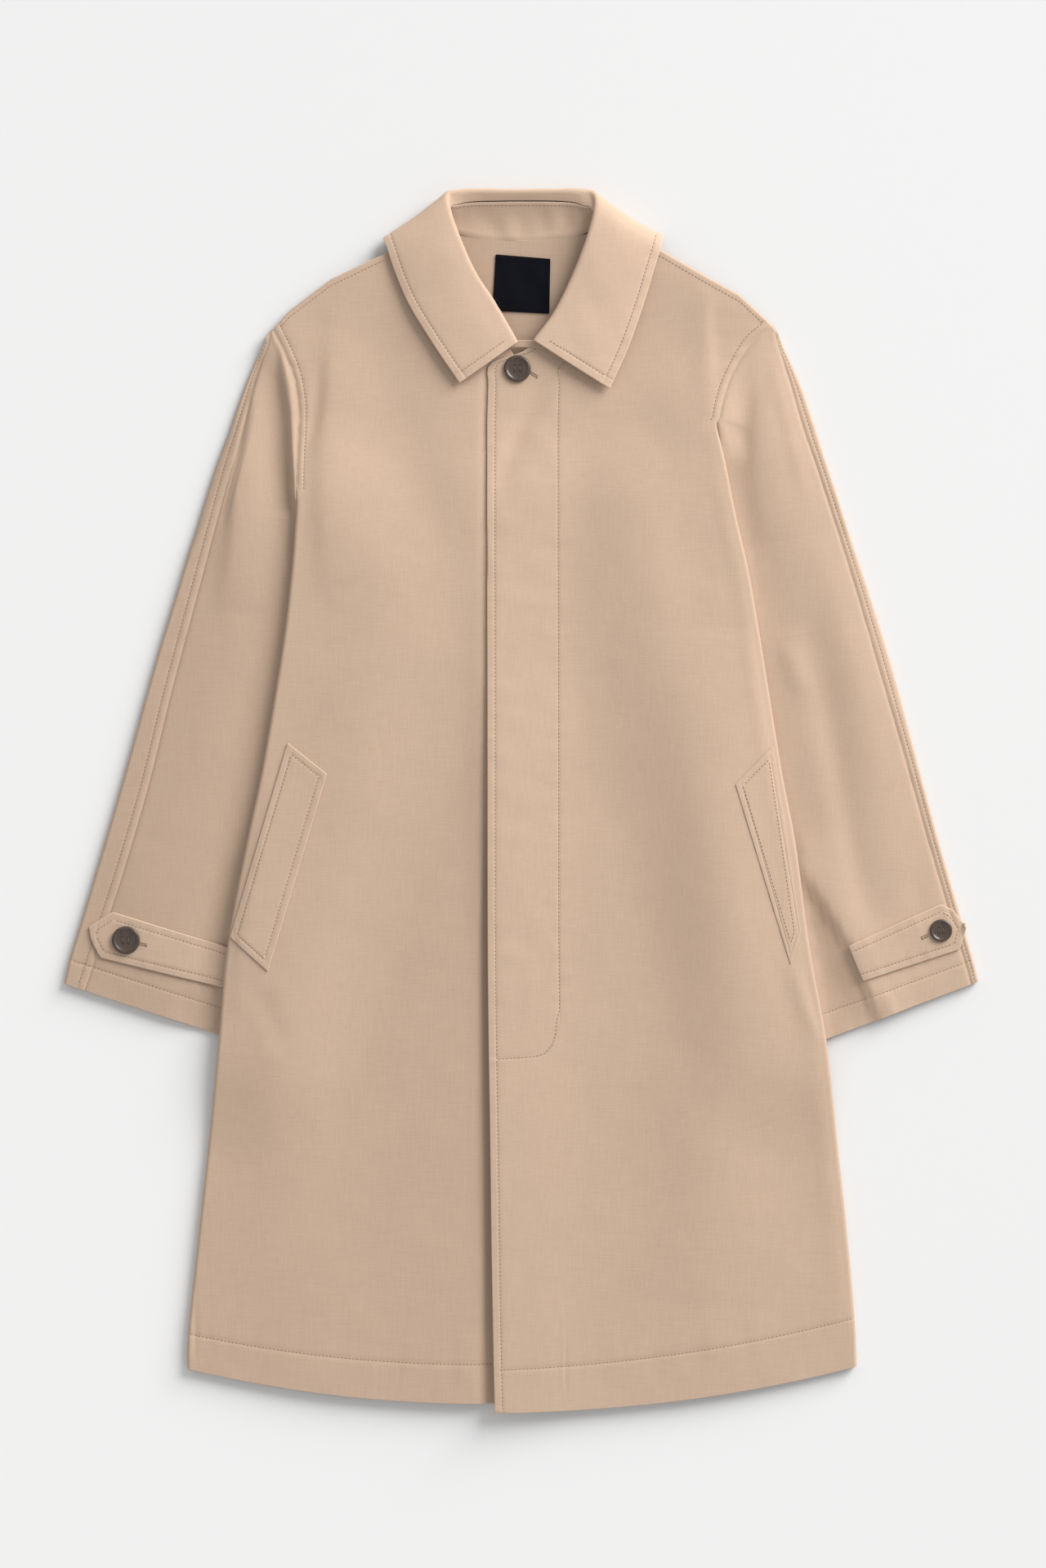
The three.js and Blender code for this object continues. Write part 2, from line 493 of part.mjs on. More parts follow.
function welt({ outer, inner }, heightAt, mirrored) {
  const plan = Array.from({ length: 8 }, (_, i) => {
    const [a, b] = [mix(outer[1], outer[0], i / 7), mix(inner[1], inner[0], i / 7)];
    const row = [0, 0.3, 0.7, 1].map((t) => mix(a, b, t));
    return mirrored ? row.reverse() : row;
  });
  return laidOn(plan, heightAt, DOUBLED, ON_TOP);
}

function strap({ point, root, halfPoint, halfRoot }, heightAt) {
  const length = apart(root, point);
  const along = [(point[0] - root[0]) / length, (point[1] - root[1]) / length];
  const rows = [0, 0.14, 0.28, 0.42, 0.56, 0.7, 0.84, 1].map((t) => t * (length - STRAP_TIP));
  const half = (d) => lerp(halfRoot, halfPoint, d / length);
  const across = (d, w) => [root[0] + along[0] * d - along[1] * w, root[1] + along[1] * d + along[0] * w];
  const plan = rows.map((d) => [1, 0.4, -0.4, -1].map((f) => across(d, f * half(d))));
  plan.push([1, 0.4, -0.4, -1].map((f) => across(length - STRAP_TIP * 0.3 * Math.abs(f), 0.55 * f * half(length))));
  return laidOn(plan, heightAt, DOUBLED, ON_TOP);
}

function labelPiece() {
  const steps = [-0.5, -0.17, 0.17, 0.5];
  const plan = steps.map((v) => steps.map((u) => [LABEL.x + u * LABEL.width, LABEL.y + v * LABEL.height]));
  return laidOn(plan, (x, y) => liftAt(x, y) + CLOTH, LABEL.thick, ON_TOP);
}

function solidOf(geometry) {
  const merged = mergeVertices(geometry.deleteAttribute("normal").deleteAttribute("uv"), 1e-4);
  const vertProperties = new Float32Array(merged.attributes.position.array);
  const triVerts = new Uint32Array(merged.index.array);
  return new wasm.Manifold(new wasm.Mesh({ numProp: 3, vertProperties, triVerts }));
}

// A four-hole button with a raised rim, its underside at z = 0
function button(diameter, x, y, z) {
  const radius = diameter / 2;
  const profile = [
    [0, 0],
    [0.8 * radius, 0],
    [radius, 1],
    [radius, 2.1],
    [0.94 * radius, 2.9],
    [0.8 * radius, 2.9],
    [0.68 * radius, 2],
    [0, 2],
  ].map(([r, h]) => new THREE.Vector2(r, h));
  const disc = new THREE.LatheGeometry(profile, 28).rotateX(Math.PI / 2);
  let solid = solidOf(disc);
  const spacing = 0.14 * diameter;
  for (const [sx, sy] of [[1, 1], [-1, 1], [-1, -1], [1, -1]]) {
    const hole = new THREE.CylinderGeometry(1, 1, 8, 10).rotateX(Math.PI / 2);
    hole.translate((sx * spacing) / 2, (sy * spacing) / 2, 1);
    solid = solid.subtract(solidOf(hole));
  }
  const { vertProperties, triVerts } = solid.getMesh();
  const geometry = new THREE.BufferGeometry();
  geometry.setAttribute("position", new THREE.BufferAttribute(vertProperties, 3));
  geometry.setIndex(new THREE.BufferAttribute(triVerts, 1));
  return geometry.translate(x, y, z);
}

const coat = new THREE.Group();
coat.name = "trench_coat";

function add(name, geometry, color, roughness) {
  geometry.computeVertexNormals();
  const mesh = new THREE.Mesh(geometry, new THREE.MeshStandardMaterial({ color, roughness, metalness: 0 }));
  mesh.name = name;
  coat.add(mesh);
}
const addCloth = (name, geometry) => add(name, geometry, SHADE.cloth, 0.85);
const addButton = (name, geometry) => add(name, geometry, SHADE.button, 0.35);

// Height of a sleeve's top where straps and buttons lie, well inside its edges
const onSleeve = (folds) => (x, y) => SLEEVE_FOLD + foldsAt(folds, x, y);
const onFront = (heightAt) => (x, y) => heightAt(x, y, BODY_FOLD, 0);

const rightSleeve = sleevePieces(RIGHT_SLEEVE, RIGHT_SLEEVE_FOLDS, rightTop, false);
const leftSleeve = sleevePieces(LEFT_SLEEVE, LEFT_SLEEVE_FOLDS, leftTop, true);
const collar = collarPieces();
const topOfStrap = SLEEVE_FOLD + ON_TOP + DOUBLED + SEAM;

addCloth("back", back());
addCloth("front_right", front("r", rightTop));
addCloth("front_left", front("l", leftTop));
addCloth("sleeve_right_front", rightSleeve.front);
addCloth("sleeve_right_back", rightSleeve.back);
addCloth("sleeve_left_front", leftSleeve.front);
addCloth("sleeve_left_back", leftSleeve.back);
addCloth("collar_fall", collar.fall);
addCloth("collar_stand", collar.stand);
addCloth("pocket_welt_right", welt(RIGHT_WELT, onFront(rightTop), false));
addCloth("pocket_welt_left", welt(LEFT_WELT, onFront(leftTop), true));
addCloth("cuff_strap_right", strap(RIGHT_STRAP, onSleeve(RIGHT_SLEEVE_FOLDS)));
addCloth("cuff_strap_left", strap(LEFT_STRAP, onSleeve(LEFT_SLEEVE_FOLDS)));
addButton("neck_button", button(BUTTONS.neck, ...NECK_BUTTON, leftTop(...NECK_BUTTON, 99, 16) + 0.6));
addButton("cuff_button_right", button(BUTTONS.rightCuff, ...RIGHT_CUFF_BUTTON, topOfStrap));
addButton("cuff_button_left", button(BUTTONS.leftCuff, ...LEFT_CUFF_BUTTON, topOfStrap));
add("neck_label", labelPiece(), SHADE.label, 0.9);

export default coat;
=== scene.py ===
"""A trench coat laid flat: fine cloth shells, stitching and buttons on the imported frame.

Sizes are in millimetres, in the frame of the CAD, and become metres where a mesh is made.
Left and right are the wearer's, so the right front is at -X.
"""
import math
from collections import namedtuple

import bpy
import numpy as np
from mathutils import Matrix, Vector
from mathutils.bvhtree import BVHTree


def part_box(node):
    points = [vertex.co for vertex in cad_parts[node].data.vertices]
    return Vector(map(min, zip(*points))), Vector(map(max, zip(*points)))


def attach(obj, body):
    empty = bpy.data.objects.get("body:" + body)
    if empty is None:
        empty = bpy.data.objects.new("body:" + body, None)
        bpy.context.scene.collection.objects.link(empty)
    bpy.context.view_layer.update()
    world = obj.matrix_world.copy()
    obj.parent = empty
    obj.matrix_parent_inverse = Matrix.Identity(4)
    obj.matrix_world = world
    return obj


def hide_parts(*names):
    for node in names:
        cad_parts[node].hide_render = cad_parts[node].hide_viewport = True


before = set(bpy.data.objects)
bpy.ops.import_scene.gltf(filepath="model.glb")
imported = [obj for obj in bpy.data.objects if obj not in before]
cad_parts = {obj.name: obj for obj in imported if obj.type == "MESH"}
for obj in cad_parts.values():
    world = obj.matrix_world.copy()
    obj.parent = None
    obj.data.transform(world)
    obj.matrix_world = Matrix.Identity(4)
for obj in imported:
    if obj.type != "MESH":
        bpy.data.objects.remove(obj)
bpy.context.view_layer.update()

MM = 0.001
CLOTH = 1.2  # thickness of a shell
DOUBLED = 1.8  # thickness of the collar's fall and the straps
WELT = 1.3  # thickness of a welt
LABEL = 0.8  # thickness of the label
BODY_FOLD = 8.4  # height of the body's rounded edges
BODY_FLAT = 6.4  # height of the fronts away from the edges, at the neck
SKIRT_FLAT = 11.0  # the same lower down
SETTLE = 80.0  # how far from the edges the fronts reach that height, at the chest
SKIRT_SETTLE = 70.0  # how much further at the skirt
SLEEVE_FOLD = 6.8  # height of the sleeves' rounded edges
EDGE_ROUND = 2.6  # how far in from an edge its rounding reaches
OVER_SLEEVE = 7.9  # how far a sleeve under the body lifts it
UNDER_EDGE = 7.5  # how high the top of a sleeve may be there
OVER_COLLAR = 3.4  # how far the folded collar lifts the body
MARGIN = 9.0  # how far beyond what lifts it the body stays lifted in full
RAMP = 100.0  # over what width it comes down from there
NECK_HALF = 66.0  # half the width of the neck
ON_TOP = 0.5  # air under a piece that lies on a panel
EDGE_STITCH = 6.5  # from an edge to its topstitching
ARMHOLE_STITCH = 6.1  # from the armhole to its topstitching
OVERARM_STITCH = 6.3  # from the overarm seam to its topstitching
COLLAR_STITCH = 6.6  # from the collar's edge to its topstitching
WELT_STITCH, STRAP_STITCH = 5.6, 5.5  # the same for welts and straps
FLY_STITCH = 63.0  # from the centre front edge to the fly's stitching
FLY_FOOT = 199.0  # how far below the origin the fly's straight stitching ends
HEM = 35.0  # from the hem to its stitching
CUFF_HEM = 21.0  # from the cuff's edge to its stitching

# Body rows from the hem to the shoulders: right and left edge, inner ends of the right and left
# front, how far the fronts hang below their ends, and the same for the back
BODY = np.array([
    (-299, -508, 300, -506, 9, -538, -23, -546, 10.5, 24),
    (-298, -477, 298, -463, 9, -503, -24, -508, 9.5, 20),
    (-288, -383, 291, -383, 9, -400, -26, -400, 7, 10),
    (-278, -292, 282, -300, 9, -300, -27.2, -305, 4.5, 5),
    (-270, -213, 272, -213, 9, -215, -28.6, -215, 2, 0),
    (-262, -129, 257, -129, 9, -130, -29.4, -130, 0, 0),
    (-245, -38, 245, -40, 9, -40, -29.6, -40, 0, 0),
    (-231, 29, 232, 29, 9, 30, -29.6, 30, 0, 0),
    (-213, 137, 214, 140, 9, 135, -29.8, 137, 0, 0),
    (-205.5, 200, 203, 204, 9, 197, -30, 200, 0, 0),
    (-203.5, 222, 192, 252, 9, 220, -30, 245, 0, 0),
    (-202.2, 241, 181.8, 303, 9, 241, -30, 295, 0, 0),
    (-200, 268, 174, 335, 9, 266, -30, 328, 0, 0),
    (-200, 289, 176.5, 341, 9, 288, -30, 340, 0, 0),
    (-199.5, 311, 178.5, 352, 9, 312, -29.5, 355, 0, 0),
    (-198.5, 333, 181.5, 363, 9, 338, -29, 372, 0, 0),
    (-198.8, 354, 186, 376, 8, 368, -27, 390, 0, 0),
    (-202.3, 376, 192, 388, -10, 402, 6, 403, 0, 0),
    (-208.5, 393.5, 199, 400, -32, 440, 34, 437, 0, 0),
    (-215.5, 408, 208, 411, -51, 473, 53, 472, 0, 0),
    (-222, 421, 225, 424, -72, 508, 70, 509, 0, 0),
], float)
RIGHT, LEFT, RIGHT_IN, LEFT_IN = (BODY[:, k:k + 2] for k in (0, 2, 4, 6))
FRONT_BOW, BACK_BOW = BODY[:, 8], BODY[:, 9]
UNDERARM, TOP_ROW = 12, 20
SHOULDERS = np.array([
    (-222, 421), (-207, 438), (-170, 466), (-119, 490), (-72, 508), (-40, 504), (0, 501),
    (40, 504), (70, 509), (124, 492), (164, 469), (195, 452), (225, 424),
], float)

# Sleeve rows from the shoulder to the cuff: outline, overarm seam, inner end
CAP = 8
RIGHT_SLEEVE = np.array([
    (-227, 415.5, -224.4, 418, -222, 421),
    (-231, 405, -227.6, 406.3, -215.5, 408),
    (-238, 391, -233, 391.6, -208.5, 393.5),
    (-245, 374, -238.5, 374.4, -202.3, 376),
    (-254, 350, -244.5, 350.7, -198.8, 354),
    (-261, 329, -250, 329.8, -198.5, 333),
    (-269, 308, -256, 308.8, -199.5, 311),
    (-276, 288, -262, 288.3, -200, 289),
    (-283, 266, -268, 266.4, -200, 268),
    (-291, 240, -275, 240.2, -193, 245),
    (-297, 222, -280, 222, -175, 222),
    (-306, 192, -288, 192, -146, 190),
    (-322, 140, -302, 139.5, -143, 135),
    (-335, 95, -314, 94, -152, 85),
    (-357, 15, -334, 12.5, -176, -5),
    (-379, -60, -356, -63, -200, -85),
    (-394, -110, -373, -115, -224, -156),
    (-404, -143, -384, -149, -238, -196),
    (-408.8, -164, -391, -170, -245, -218),
], float)
LEFT_SLEEVE = np.array([
    (229.5, 416.5, 227.4, 419.8, 225, 424),
    (234, 405.5, 230, 406.3, 208, 411),
    (240, 393.5, 234, 394.4, 199, 400),
    (246, 380, 238, 381.2, 192, 388),
    (252, 365, 242.5, 366.6, 186, 376),
    (257, 350, 246.5, 351.8, 181.5, 363),
    (262, 335, 251, 337.2, 178.5, 352),
    (267, 319, 256, 321.7, 176.5, 341),
    (273, 301, 262, 304.8, 174, 335),
    (281, 277, 270, 279.9, 175.5, 308),
    (288, 255, 277.5, 257.2, 158, 282),
    (297, 227, 287, 228.2, 141, 245),
    (311, 185, 300, 186, 136, 200),
    (331, 120, 319, 121, 146, 134),
    (352, 42, 342, 42.4, 167, 48),
    (372, -32, 363, -33, 192, -50),
    (393, -105, 385, -107, 224, -145),
    (404, -143, 397, -145.5, 246, -200),
    (408.8, -162, 402.5, -164.4, 250, -222),
], float)
JOINED = 30.0  # over what width beside the armhole a sleeve leaves the body's height
SEAM_ROOM = 12.6  # width outside the overarm seam from which its stitching is full size
# The fold beside the right armhole: how far from the seam it drops, by row, and over what width
STEP_ROWS = [1, 2, 3, 4, 5, 6, 7, 8]
STEP_FROM = [6, 9, 9, 8, 6.5, 4.5, 3, 1]
STEP_OVER = 3.6

# Collar stations from the right front end to the left one: neck, seam, roll, mid and edge points,
# then the direction away from the neck and the tip of the turn, in degrees
TURN = 2.8
COLLAR = np.array([
    (-25, 423, 8.8, -14, 420, 11, -3, 409.5, 14.4, -29, 391, 17, -55, 373, 14.6, 215, 90),
    (-39, 444, 9.6, -31, 447, 12.6, -23, 444, 16.4, -53, 426, 19, -80, 410, 15.6, 211, 90),
    (-52, 467, 10.8, -46, 470, 14.6, -40, 470, 18.8, -70, 456, 21, -100, 443, 16, 206, 90),
    (-64, 491, 12.4, -58, 497, 16.6, -53, 498, 21, -84, 485, 22.5, -112.5, 472, 16.6, 200, 88),
    (-72, 512, 12.6, -66, 519, 17.4, -63, 526, 21.4, -92, 509, 20.5, -119, 492, 16.4, 182, 56),
    (-72, 515.5, 9.6, -64, 529, 16, -66, 540, 18, -95, 521, 12.4, -123, 503, 8.6, 152, 0),
    (-62, 511, 6.6, -57, 531, 13.4, -59, 544, 14.8, -88, 518, 1.6, -116, 499, 1, 122, -58),
    (-42, 506, 5.2, -42, 534, 11.8, -43, 545.6, 13.6, -58, 524, 0.1, -86, 484, 0.1, 96, -88),
    (0, 502.6, 4.8, 0, 535, 11.4, 0, 545.2, 13.4, 0, 524, 0.1, 0, 477, 0.1, 90, -90),
    (42, 506, 5.2, 41, 534, 11.8, 42, 546, 13.6, 58, 524, 0.1, 88, 485, 0.1, 84, -88),
    (61, 511, 6.6, 56, 530, 13.4, 58, 545, 14.8, 88, 518, 1.6, 118, 501, 1, 58, -58),
    (71, 515.5, 9.6, 62, 528, 16, 65.5, 540, 18, 96, 521, 12.4, 126, 505, 8.6, 28, 0),
    (71, 512, 12.6, 66, 518, 17.4, 64.5, 525, 21.4, 95, 509, 20.5, 124, 494, 16.4, -2, 56),
    (67, 491, 12.4, 61, 496, 16.6, 56.5, 497, 21, 89, 486, 22, 118, 474, 16.6, -20, 88),
    (57, 466, 10.8, 51, 469, 14.4, 45, 468, 18.4, 78, 455, 20, 108, 441, 15.6, -24, 90),
    (44, 436, 9.6, 36, 438, 12.4, 29, 436, 16, 62, 419, 18, 94, 402, 14.8, -27, 90),
    (20, 405, 8.2, 19.5, 411, 9.6, 10.5, 411, 15, 44, 389.5, 17, 78.5, 368, 14.4, -32, 90),
], float)
STAND_TAB = np.array([(-13, 405, 8), (-11, 410, 8.8)], float)

RIGHT_WELT = {"outer": ((-259, -122), (-208, 50)), "inner": ((-226, -152), (-174, 23))}
LEFT_WELT = {"outer": ((249, -118), (224.5, 48)), "inner": ((240, -146), (191, 14))}
RIGHT_STRAP = {
    "root": ((-256, -134.7), (-264.5, -167.7)), "neck": ((-365.7, -100.7), (-376, -140.2)),
    "tip": ((-385.4, -113.9), (-384, -124.1)),
}
LEFT_STRAP = {
    "root": ((305.3, -160.8), (292.7, -130.8)), "neck": ((391.3, -132.9), (375.2, -93.8)),
    "tip": ((396.8, -113.5), (386, -99.5)),
}

# Creases: the points of the line from top to bottom, the widths towards -X and +X, and the height.
# A negative height is a trough. A pair of widths is the first and the last along the line
BODY_CREASES = [
    ([(-166, 440), (-170, 380), (-176, 300), (-172, 190)], (11, 36), 2.6),
    ([(-180, 391), (-182, 358), (-187, 330), (-196, 300)], (5, 6), -1.6),
    ([(-130, 430), (-111, 358), (-89, 292), (-72, 220), (-63, 147)], (28, 22), -1.1),
    ([(-215, -60), (-214, -240), (-222, -430)], (28, 60), 1.5),
    ([(-130, -60), (-150, -260), (-170, -440)], (40, 50), -1.4),
    ([(18, 367), (-1, 333), (-13, 297), (-24, 268)], (7, 10), -2.3),
    ([(-30, 190), (-30, 60), (-30, -120)], (16, 40), 2.2),
    ([(60, 380), (84, 300), (96, 210)], (26, 30), 0.8),
    ([(118, 345), (127, 301), (142, 231), (151, 171), (156, 100)], (28, 26), -1.1),
    ([(164.6, 460), (165, 425), (169, 362), (175, 338)], (13, 6), 1.5),
    ([(172, 150), (178, 0), (183, -150), (172, -330), (165, -450)], (46, 50), 6.0),
    ([(171, 335), (185, 252), (198, 204), (207, 140), (225, 29), (238, -40), (250, -129)], (9, 4.5), 1.2),
    ([(262, -150), (280, -300), (290, -470)], (16, 16), 1.6),
    ([(241, -147), (254, -185), (269, -216)], (7, 5), 1.6),
    ([(-236, -170), (-222, -196), (-214, -224)], (8, 10), -1.0),
    ([(-232, 20), (-247, -60), (-258, -130), (-266, -190)], (10, 34), 2.4),
]
RIGHT_ONLY = [
    ([(-31, 110), (-31, -150), (-30, -400), (-26, -900)], (60, 30), -1.4),
]
LEFT_ONLY = [
    ([(-27, 362), (-30, 120), (-30, -120), (-28, -330), (-24, -540)], (9, 16), 0.9),
    ([(-30, 110), (-30, -150), (-28, -400), (-24, -900)], (30, 70), 3.8),
]
RIGHT_SLEEVE_CREASES = [
    ([(-228, 404), (-240, 356), (-250.3, 304), (-254, 277), (-256, 236), (-262, 170)],
     ((2.2, 13), 34), 4.6),
    ([(-221, 402), (-218, 366), (-214.5, 345), (-212, 311), (-208, 285), (-205, 255)], (26, 6), -7.0),
    ([(-213, 396), (-207.5, 366), (-205.5, 330), (-204, 296), (-204, 280)], (5, 7), 2.4),
    ([(-203, 262), (-222, 130), (-244, 20), (-262, -80), (-290, -200)], (24, 14), -2.2),
    ([(-250, -50), (-263, -120), (-274, -170), (-288, -235)], (17, 12), -5.0),
    ([(-242, 356), (-252.5, 308), (-259.5, 277), (-267, 245)], (2.4, 2.4), -3.4),
    ([(-330, -40), (-352, -100)], (16, 18), 0.9),
    ([(-264, -160), (-274, -184), (-284, -206)], (3.5, 4.5), 1.8),
    ([(-300, -170), (-306, -206)], (6, 7), -0.9),
]
LEFT_SLEEVE_CREASES = [
    ([(214, 412), (212, 345), (212, 285), (222, 230)], (12, 26), 3.0),
    ([(224, 398), (238, 340), (256, 268)], (8, 11), 1.4),
    ([(190, 300), (202, 246), (222, 142)], (8, 34), -1.5),
    ([(236, 140), (250, 96)], (9, 9), 1.6),
    ([(254, 164), (276, 66), (287, 3), (303, -79), (314, -112)], (12, 14), -2.6),
    ([(270, 235), (304, 110), (330, 10)], (20, 24), 2.4),
    ([(236, -40), (267.5, -89.7), (292.1, -129.4), (300.4, -145.8), (319.5, -195.1), (340, -250)],
     (2.6, 30), 4.6),
    ([(252, -80), (266, -130), (290, -215)], (18, 14), -3.4),
    ([(288, -194), (295, -224)], (3, 3.5), 1.3),
    ([(274, -200), (279, -226)], (3, 3), -1.0),
    ([(324, -174), (334, -196)], (3, 4), 1.4),
    ([(345, -60), (362, -110)], (12, 14), -0.8),
]
BACK_CREASES = [
    ([(-70, 400), (-90, 250), (-100, 60)], (20, 26), 1.4),
    ([(60, 380), (90, 240), (96, 90)], (22, 18), 1.2),
    ([(-30, 60), (-60, -160), (-80, -380)], (24, 20), 1.3),
    ([(70, 20), (100, -200), (130, -420)], (22, 26), 1.4),
    ([(0, 300), (4, 120), (-6, -60)], (12, 12), 0.8),
]
# The fly's stitching round its foot, and how far the body rises along its middle
FLY_TURN = [
    (31.4, -199), (30.8, -209), (27.5, -219), (20.5, -226.5), (10, -229), (0, -229.6), (-21, -230.7),
]
CENTRE_AT = [-540, -300, 0, 250, 375, 450]
CENTRE_RISE = [3.0, 4.0, 5.2, 5.6, 1.2, 0]
BODY_OUTLINE = np.concatenate([RIGHT, SHOULDERS[1:-1], LEFT[::-1]])

# Distances from an edge or a seam at which the meshes have lines
ROUND_EDGE = [0, 0.1, 0.4, 0.9, 1.8, 3, 4.3, 7, 10.5, 15]
ARMHOLE_EDGE = [0, 0.1, 0.4, 0.9, 1.8, 3, 4.4, 5.2, 5.7, 6.1, 6.5, 7, 8.2, 10.5, 15]
RIGHT_FAR = [0, 0.4, 1.2, 3, 6, 10]
LEFT_FAR = [
    0, 0.4, 1.2, 2.6, 4.2, 5.4, 6, 6.5, 7, 7.6, 8.8, 13, 18, 23.5, 29, 35, 41, 47, 53, 58, 60.8,
    61.9, 62.5, 63, 63.5, 64.1, 65.2, 68,
]
SEAM_EDGE = [0, 0.2, 0.6, 1.3, 2.6, 5, 9]
SLEEVE_IN_EDGE = [0, 0.1, 0.4, 0.9, 1.8, 3, 4.2, 5.5, 6.8, 8.1, 9.4, 10.8, 12.4, 14.5, 18]
SLEEVE_FREE_EDGE = [0, 0.2, 0.8, 1.7, 3.4, 9, 15]
SEAM_EDGE_STITCHED = [0, 0.2, 0.6, 1.3, 2.6, 4.2, 5.2, 5.8, 6.3, 6.8, 7.5, 8.8]
COLLAR_EDGE = [0, 0.3, 1, 2.4, 4.2, 5.3, 6, 6.5, 7, 7.7, 9]
WELT_EDGE = np.array([0, 0.3, 1, 2.2, 4, 5, 5.6, 6.1, 6.8, 8])
STRAP_EDGE = np.array([0, 0.3, 1, 2.2, 4, 5, 5.5, 6, 6.8, 8])
ACROSS = np.array([-2.4, -1.2, -0.5, 0, 0.5, 1.2, 2.4])  # either side of a line of stitching


def smooth(t):
    t = np.clip(t, 0, 1)
    return t * t * (3 - 2 * t)


def rounded(distance, radius):
    """A quarter circle: 0 at an edge, 1 from a radius inside it."""
    return np.sqrt(1 - (1 - np.clip(distance / radius, 0, 1)) ** 2)


def bell(distance, width):
    return np.exp(-((distance / width) ** 2))


def soft_floor(height, least):
    """The height, kept above a least one without a kink."""
    return 0.5 * (height + least + np.sqrt((height - least) ** 2 + 0.5))


def through(values, at):
    """Catmull-Rom values of a table at fractional row numbers."""
    values = np.asarray(values, float)
    first, last = 2 * values[:1] - values[1:2], 2 * values[-1:] - values[-2:-1]
    table = np.concatenate([first, values, last])
    i = np.minimum(at.astype(int), len(values) - 2)
    t = (at - i).reshape((-1,) + (1,) * (values.ndim - 1))
    a, b, c, d = (table[i + k] for k in range(4))
    square, cube = 2 * a - 5 * b + 4 * c - d, 3 * b - a - 3 * c + d
    return 0.5 * (2 * b + (c - a) * t + square * t**2 + cube * t**3)


def run_along(points):
    """How far along a line each of its points is."""
    return np.concatenate([[0], np.cumsum(np.linalg.norm(np.diff(points, axis=0), axis=1))])


def points_at(distances, points, run):
    """Points at distances along a line."""
    return np.stack([np.interp(distances, run, values) for values in np.transpose(points)], axis=-1)


def length_of(vectors):
    """Lengths of vectors along the last axis, which stays as an axis of one."""
    return np.linalg.norm(vectors, axis=-1, keepdims=True)


def unit(vectors):
    return vectors / np.maximum(length_of(vectors), 1e-9)


def shoulder_y(x):
    return np.interp(x, SHOULDERS[:, 0], SHOULDERS[:, 1])


def segment_distance(x, y, a, b):
    """Distance to a segment, how far along it, and the side: above 0 to its right."""
    dx, dy = b[0] - a[0], b[1] - a[1]
    long = math.hypot(dx, dy)
    along = np.clip(((x - a[0]) * dx + (y - a[1]) * dy) / long**2, 0, 1)
    side = ((x - a[0]) * dy - (y - a[1]) * dx) / long
    return np.hypot(x - a[0] - along * dx, y - a[1] - along * dy), along * long, side


def line_distance(points, x, y):
    return np.min([segment_distance(x, y, a, b)[0] for a, b in zip(points, points[1:])], axis=0)


def outside(outline, x, y):
    """How far points are outside an outline in plan: 0 inside it."""
    inside = np.zeros(x.shape, bool)
    nearest = np.full(x.shape, np.inf)
    for a, b in zip(outline, np.roll(outline, -1, axis=0)):
        if a[1] != b[1]:
            crossing = a[0] + (b[0] - a[0]) * (y - a[1]) / (b[1] - a[1])
            inside ^= ((a[1] > y) != (b[1] > y)) & (x < crossing)
        nearest = np.minimum(nearest, segment_distance(x, y, a, b)[0])
    return np.where(inside, 0, nearest)


def under_body(sleeve):
    return np.concatenate([sleeve[CAP + 1:, 4:6], sleeve[:CAP:-1, 0:2]])


LIFTS = [
    (under_body(RIGHT_SLEEVE), OVER_SLEEVE),
    (under_body(LEFT_SLEEVE), OVER_SLEEVE),
    (np.concatenate([COLLAR[5:12, 12:14], [(66, 545), (-66, 545)]]), OVER_COLLAR),
]


def lift(x, y):
    """Height of the body's underside: more over the sleeves and the folded collar."""
    return np.max([h * smooth(1 + (MARGIN - outside(o, x, y)) / RAMP) for o, h in LIFTS], axis=0)


def spread(width, share):
    """A width, or one that changes from its first value to its last along a line."""
    first, last = width if isinstance(width, tuple) else (width, width)
    return first + (last - first) * share


def crease_field(creases, x, y):
    """Sum of creases, each fading in and out along its line."""
    total = np.zeros(x.shape)
    for points, (left, right), height in creases:
        best, place, side = np.full(x.shape, np.inf), np.zeros(x.shape), np.zeros(x.shape)
        start = 0.0
        for a, b in zip(points, points[1:]):
            distance, along, s = segment_distance(x, y, a, b)
            near = distance < best
            best = np.where(near, distance, best)
            place = np.where(near, start + along, place)
            side = np.where(near, s, side)
            start += math.dist(a, b)
        width = np.where(side > 0, spread(left, place / start), spread(right, place / start))
        fade = 0.15 + 0.85 * np.sin(np.pi * np.clip(place / start, 0, 1)) ** 0.6
        total += height * fade * bell(best, width)
    return total


def undulation(x, y, wavelength, seed):
    """A smooth uneven surface of height about 1, as a sum of plane waves."""
    rng = np.random.default_rng(seed)
    total = np.zeros(np.shape(x))
    for _ in range(9):
        angle, phase = rng.uniform(0, 2 * np.pi, 2)
        length = wavelength * rng.uniform(0.7, 1.5)
        total += np.sin(2 * np.pi * (x * np.cos(angle) + y * np.sin(angle)) / length + phase)
    return total / 4


def slack(x, y, seed):
    """Small unevenness that all laid cloth has."""
    return 0.17 * undulation(x, y, 95, seed) + 0.07 * undulation(x, y, 34, seed + 1)


def pucker(distance, place, seed, reach, height):
    """Little gathers along a line of stitching."""
    wave = undulation(place, place * 0, 12, seed) + undulation(place, place * 0, 7, seed + 5)
    return height * wave * bell(distance, reach)


def groove(distance, raised=0.0):
    """Cross-section of topstitching: a small valley, with a thicker strip on its near side."""
    return -0.36 * bell(distance, 0.9) + 0.4 * raised * (1 - smooth((distance + 1.6) / 2.4))


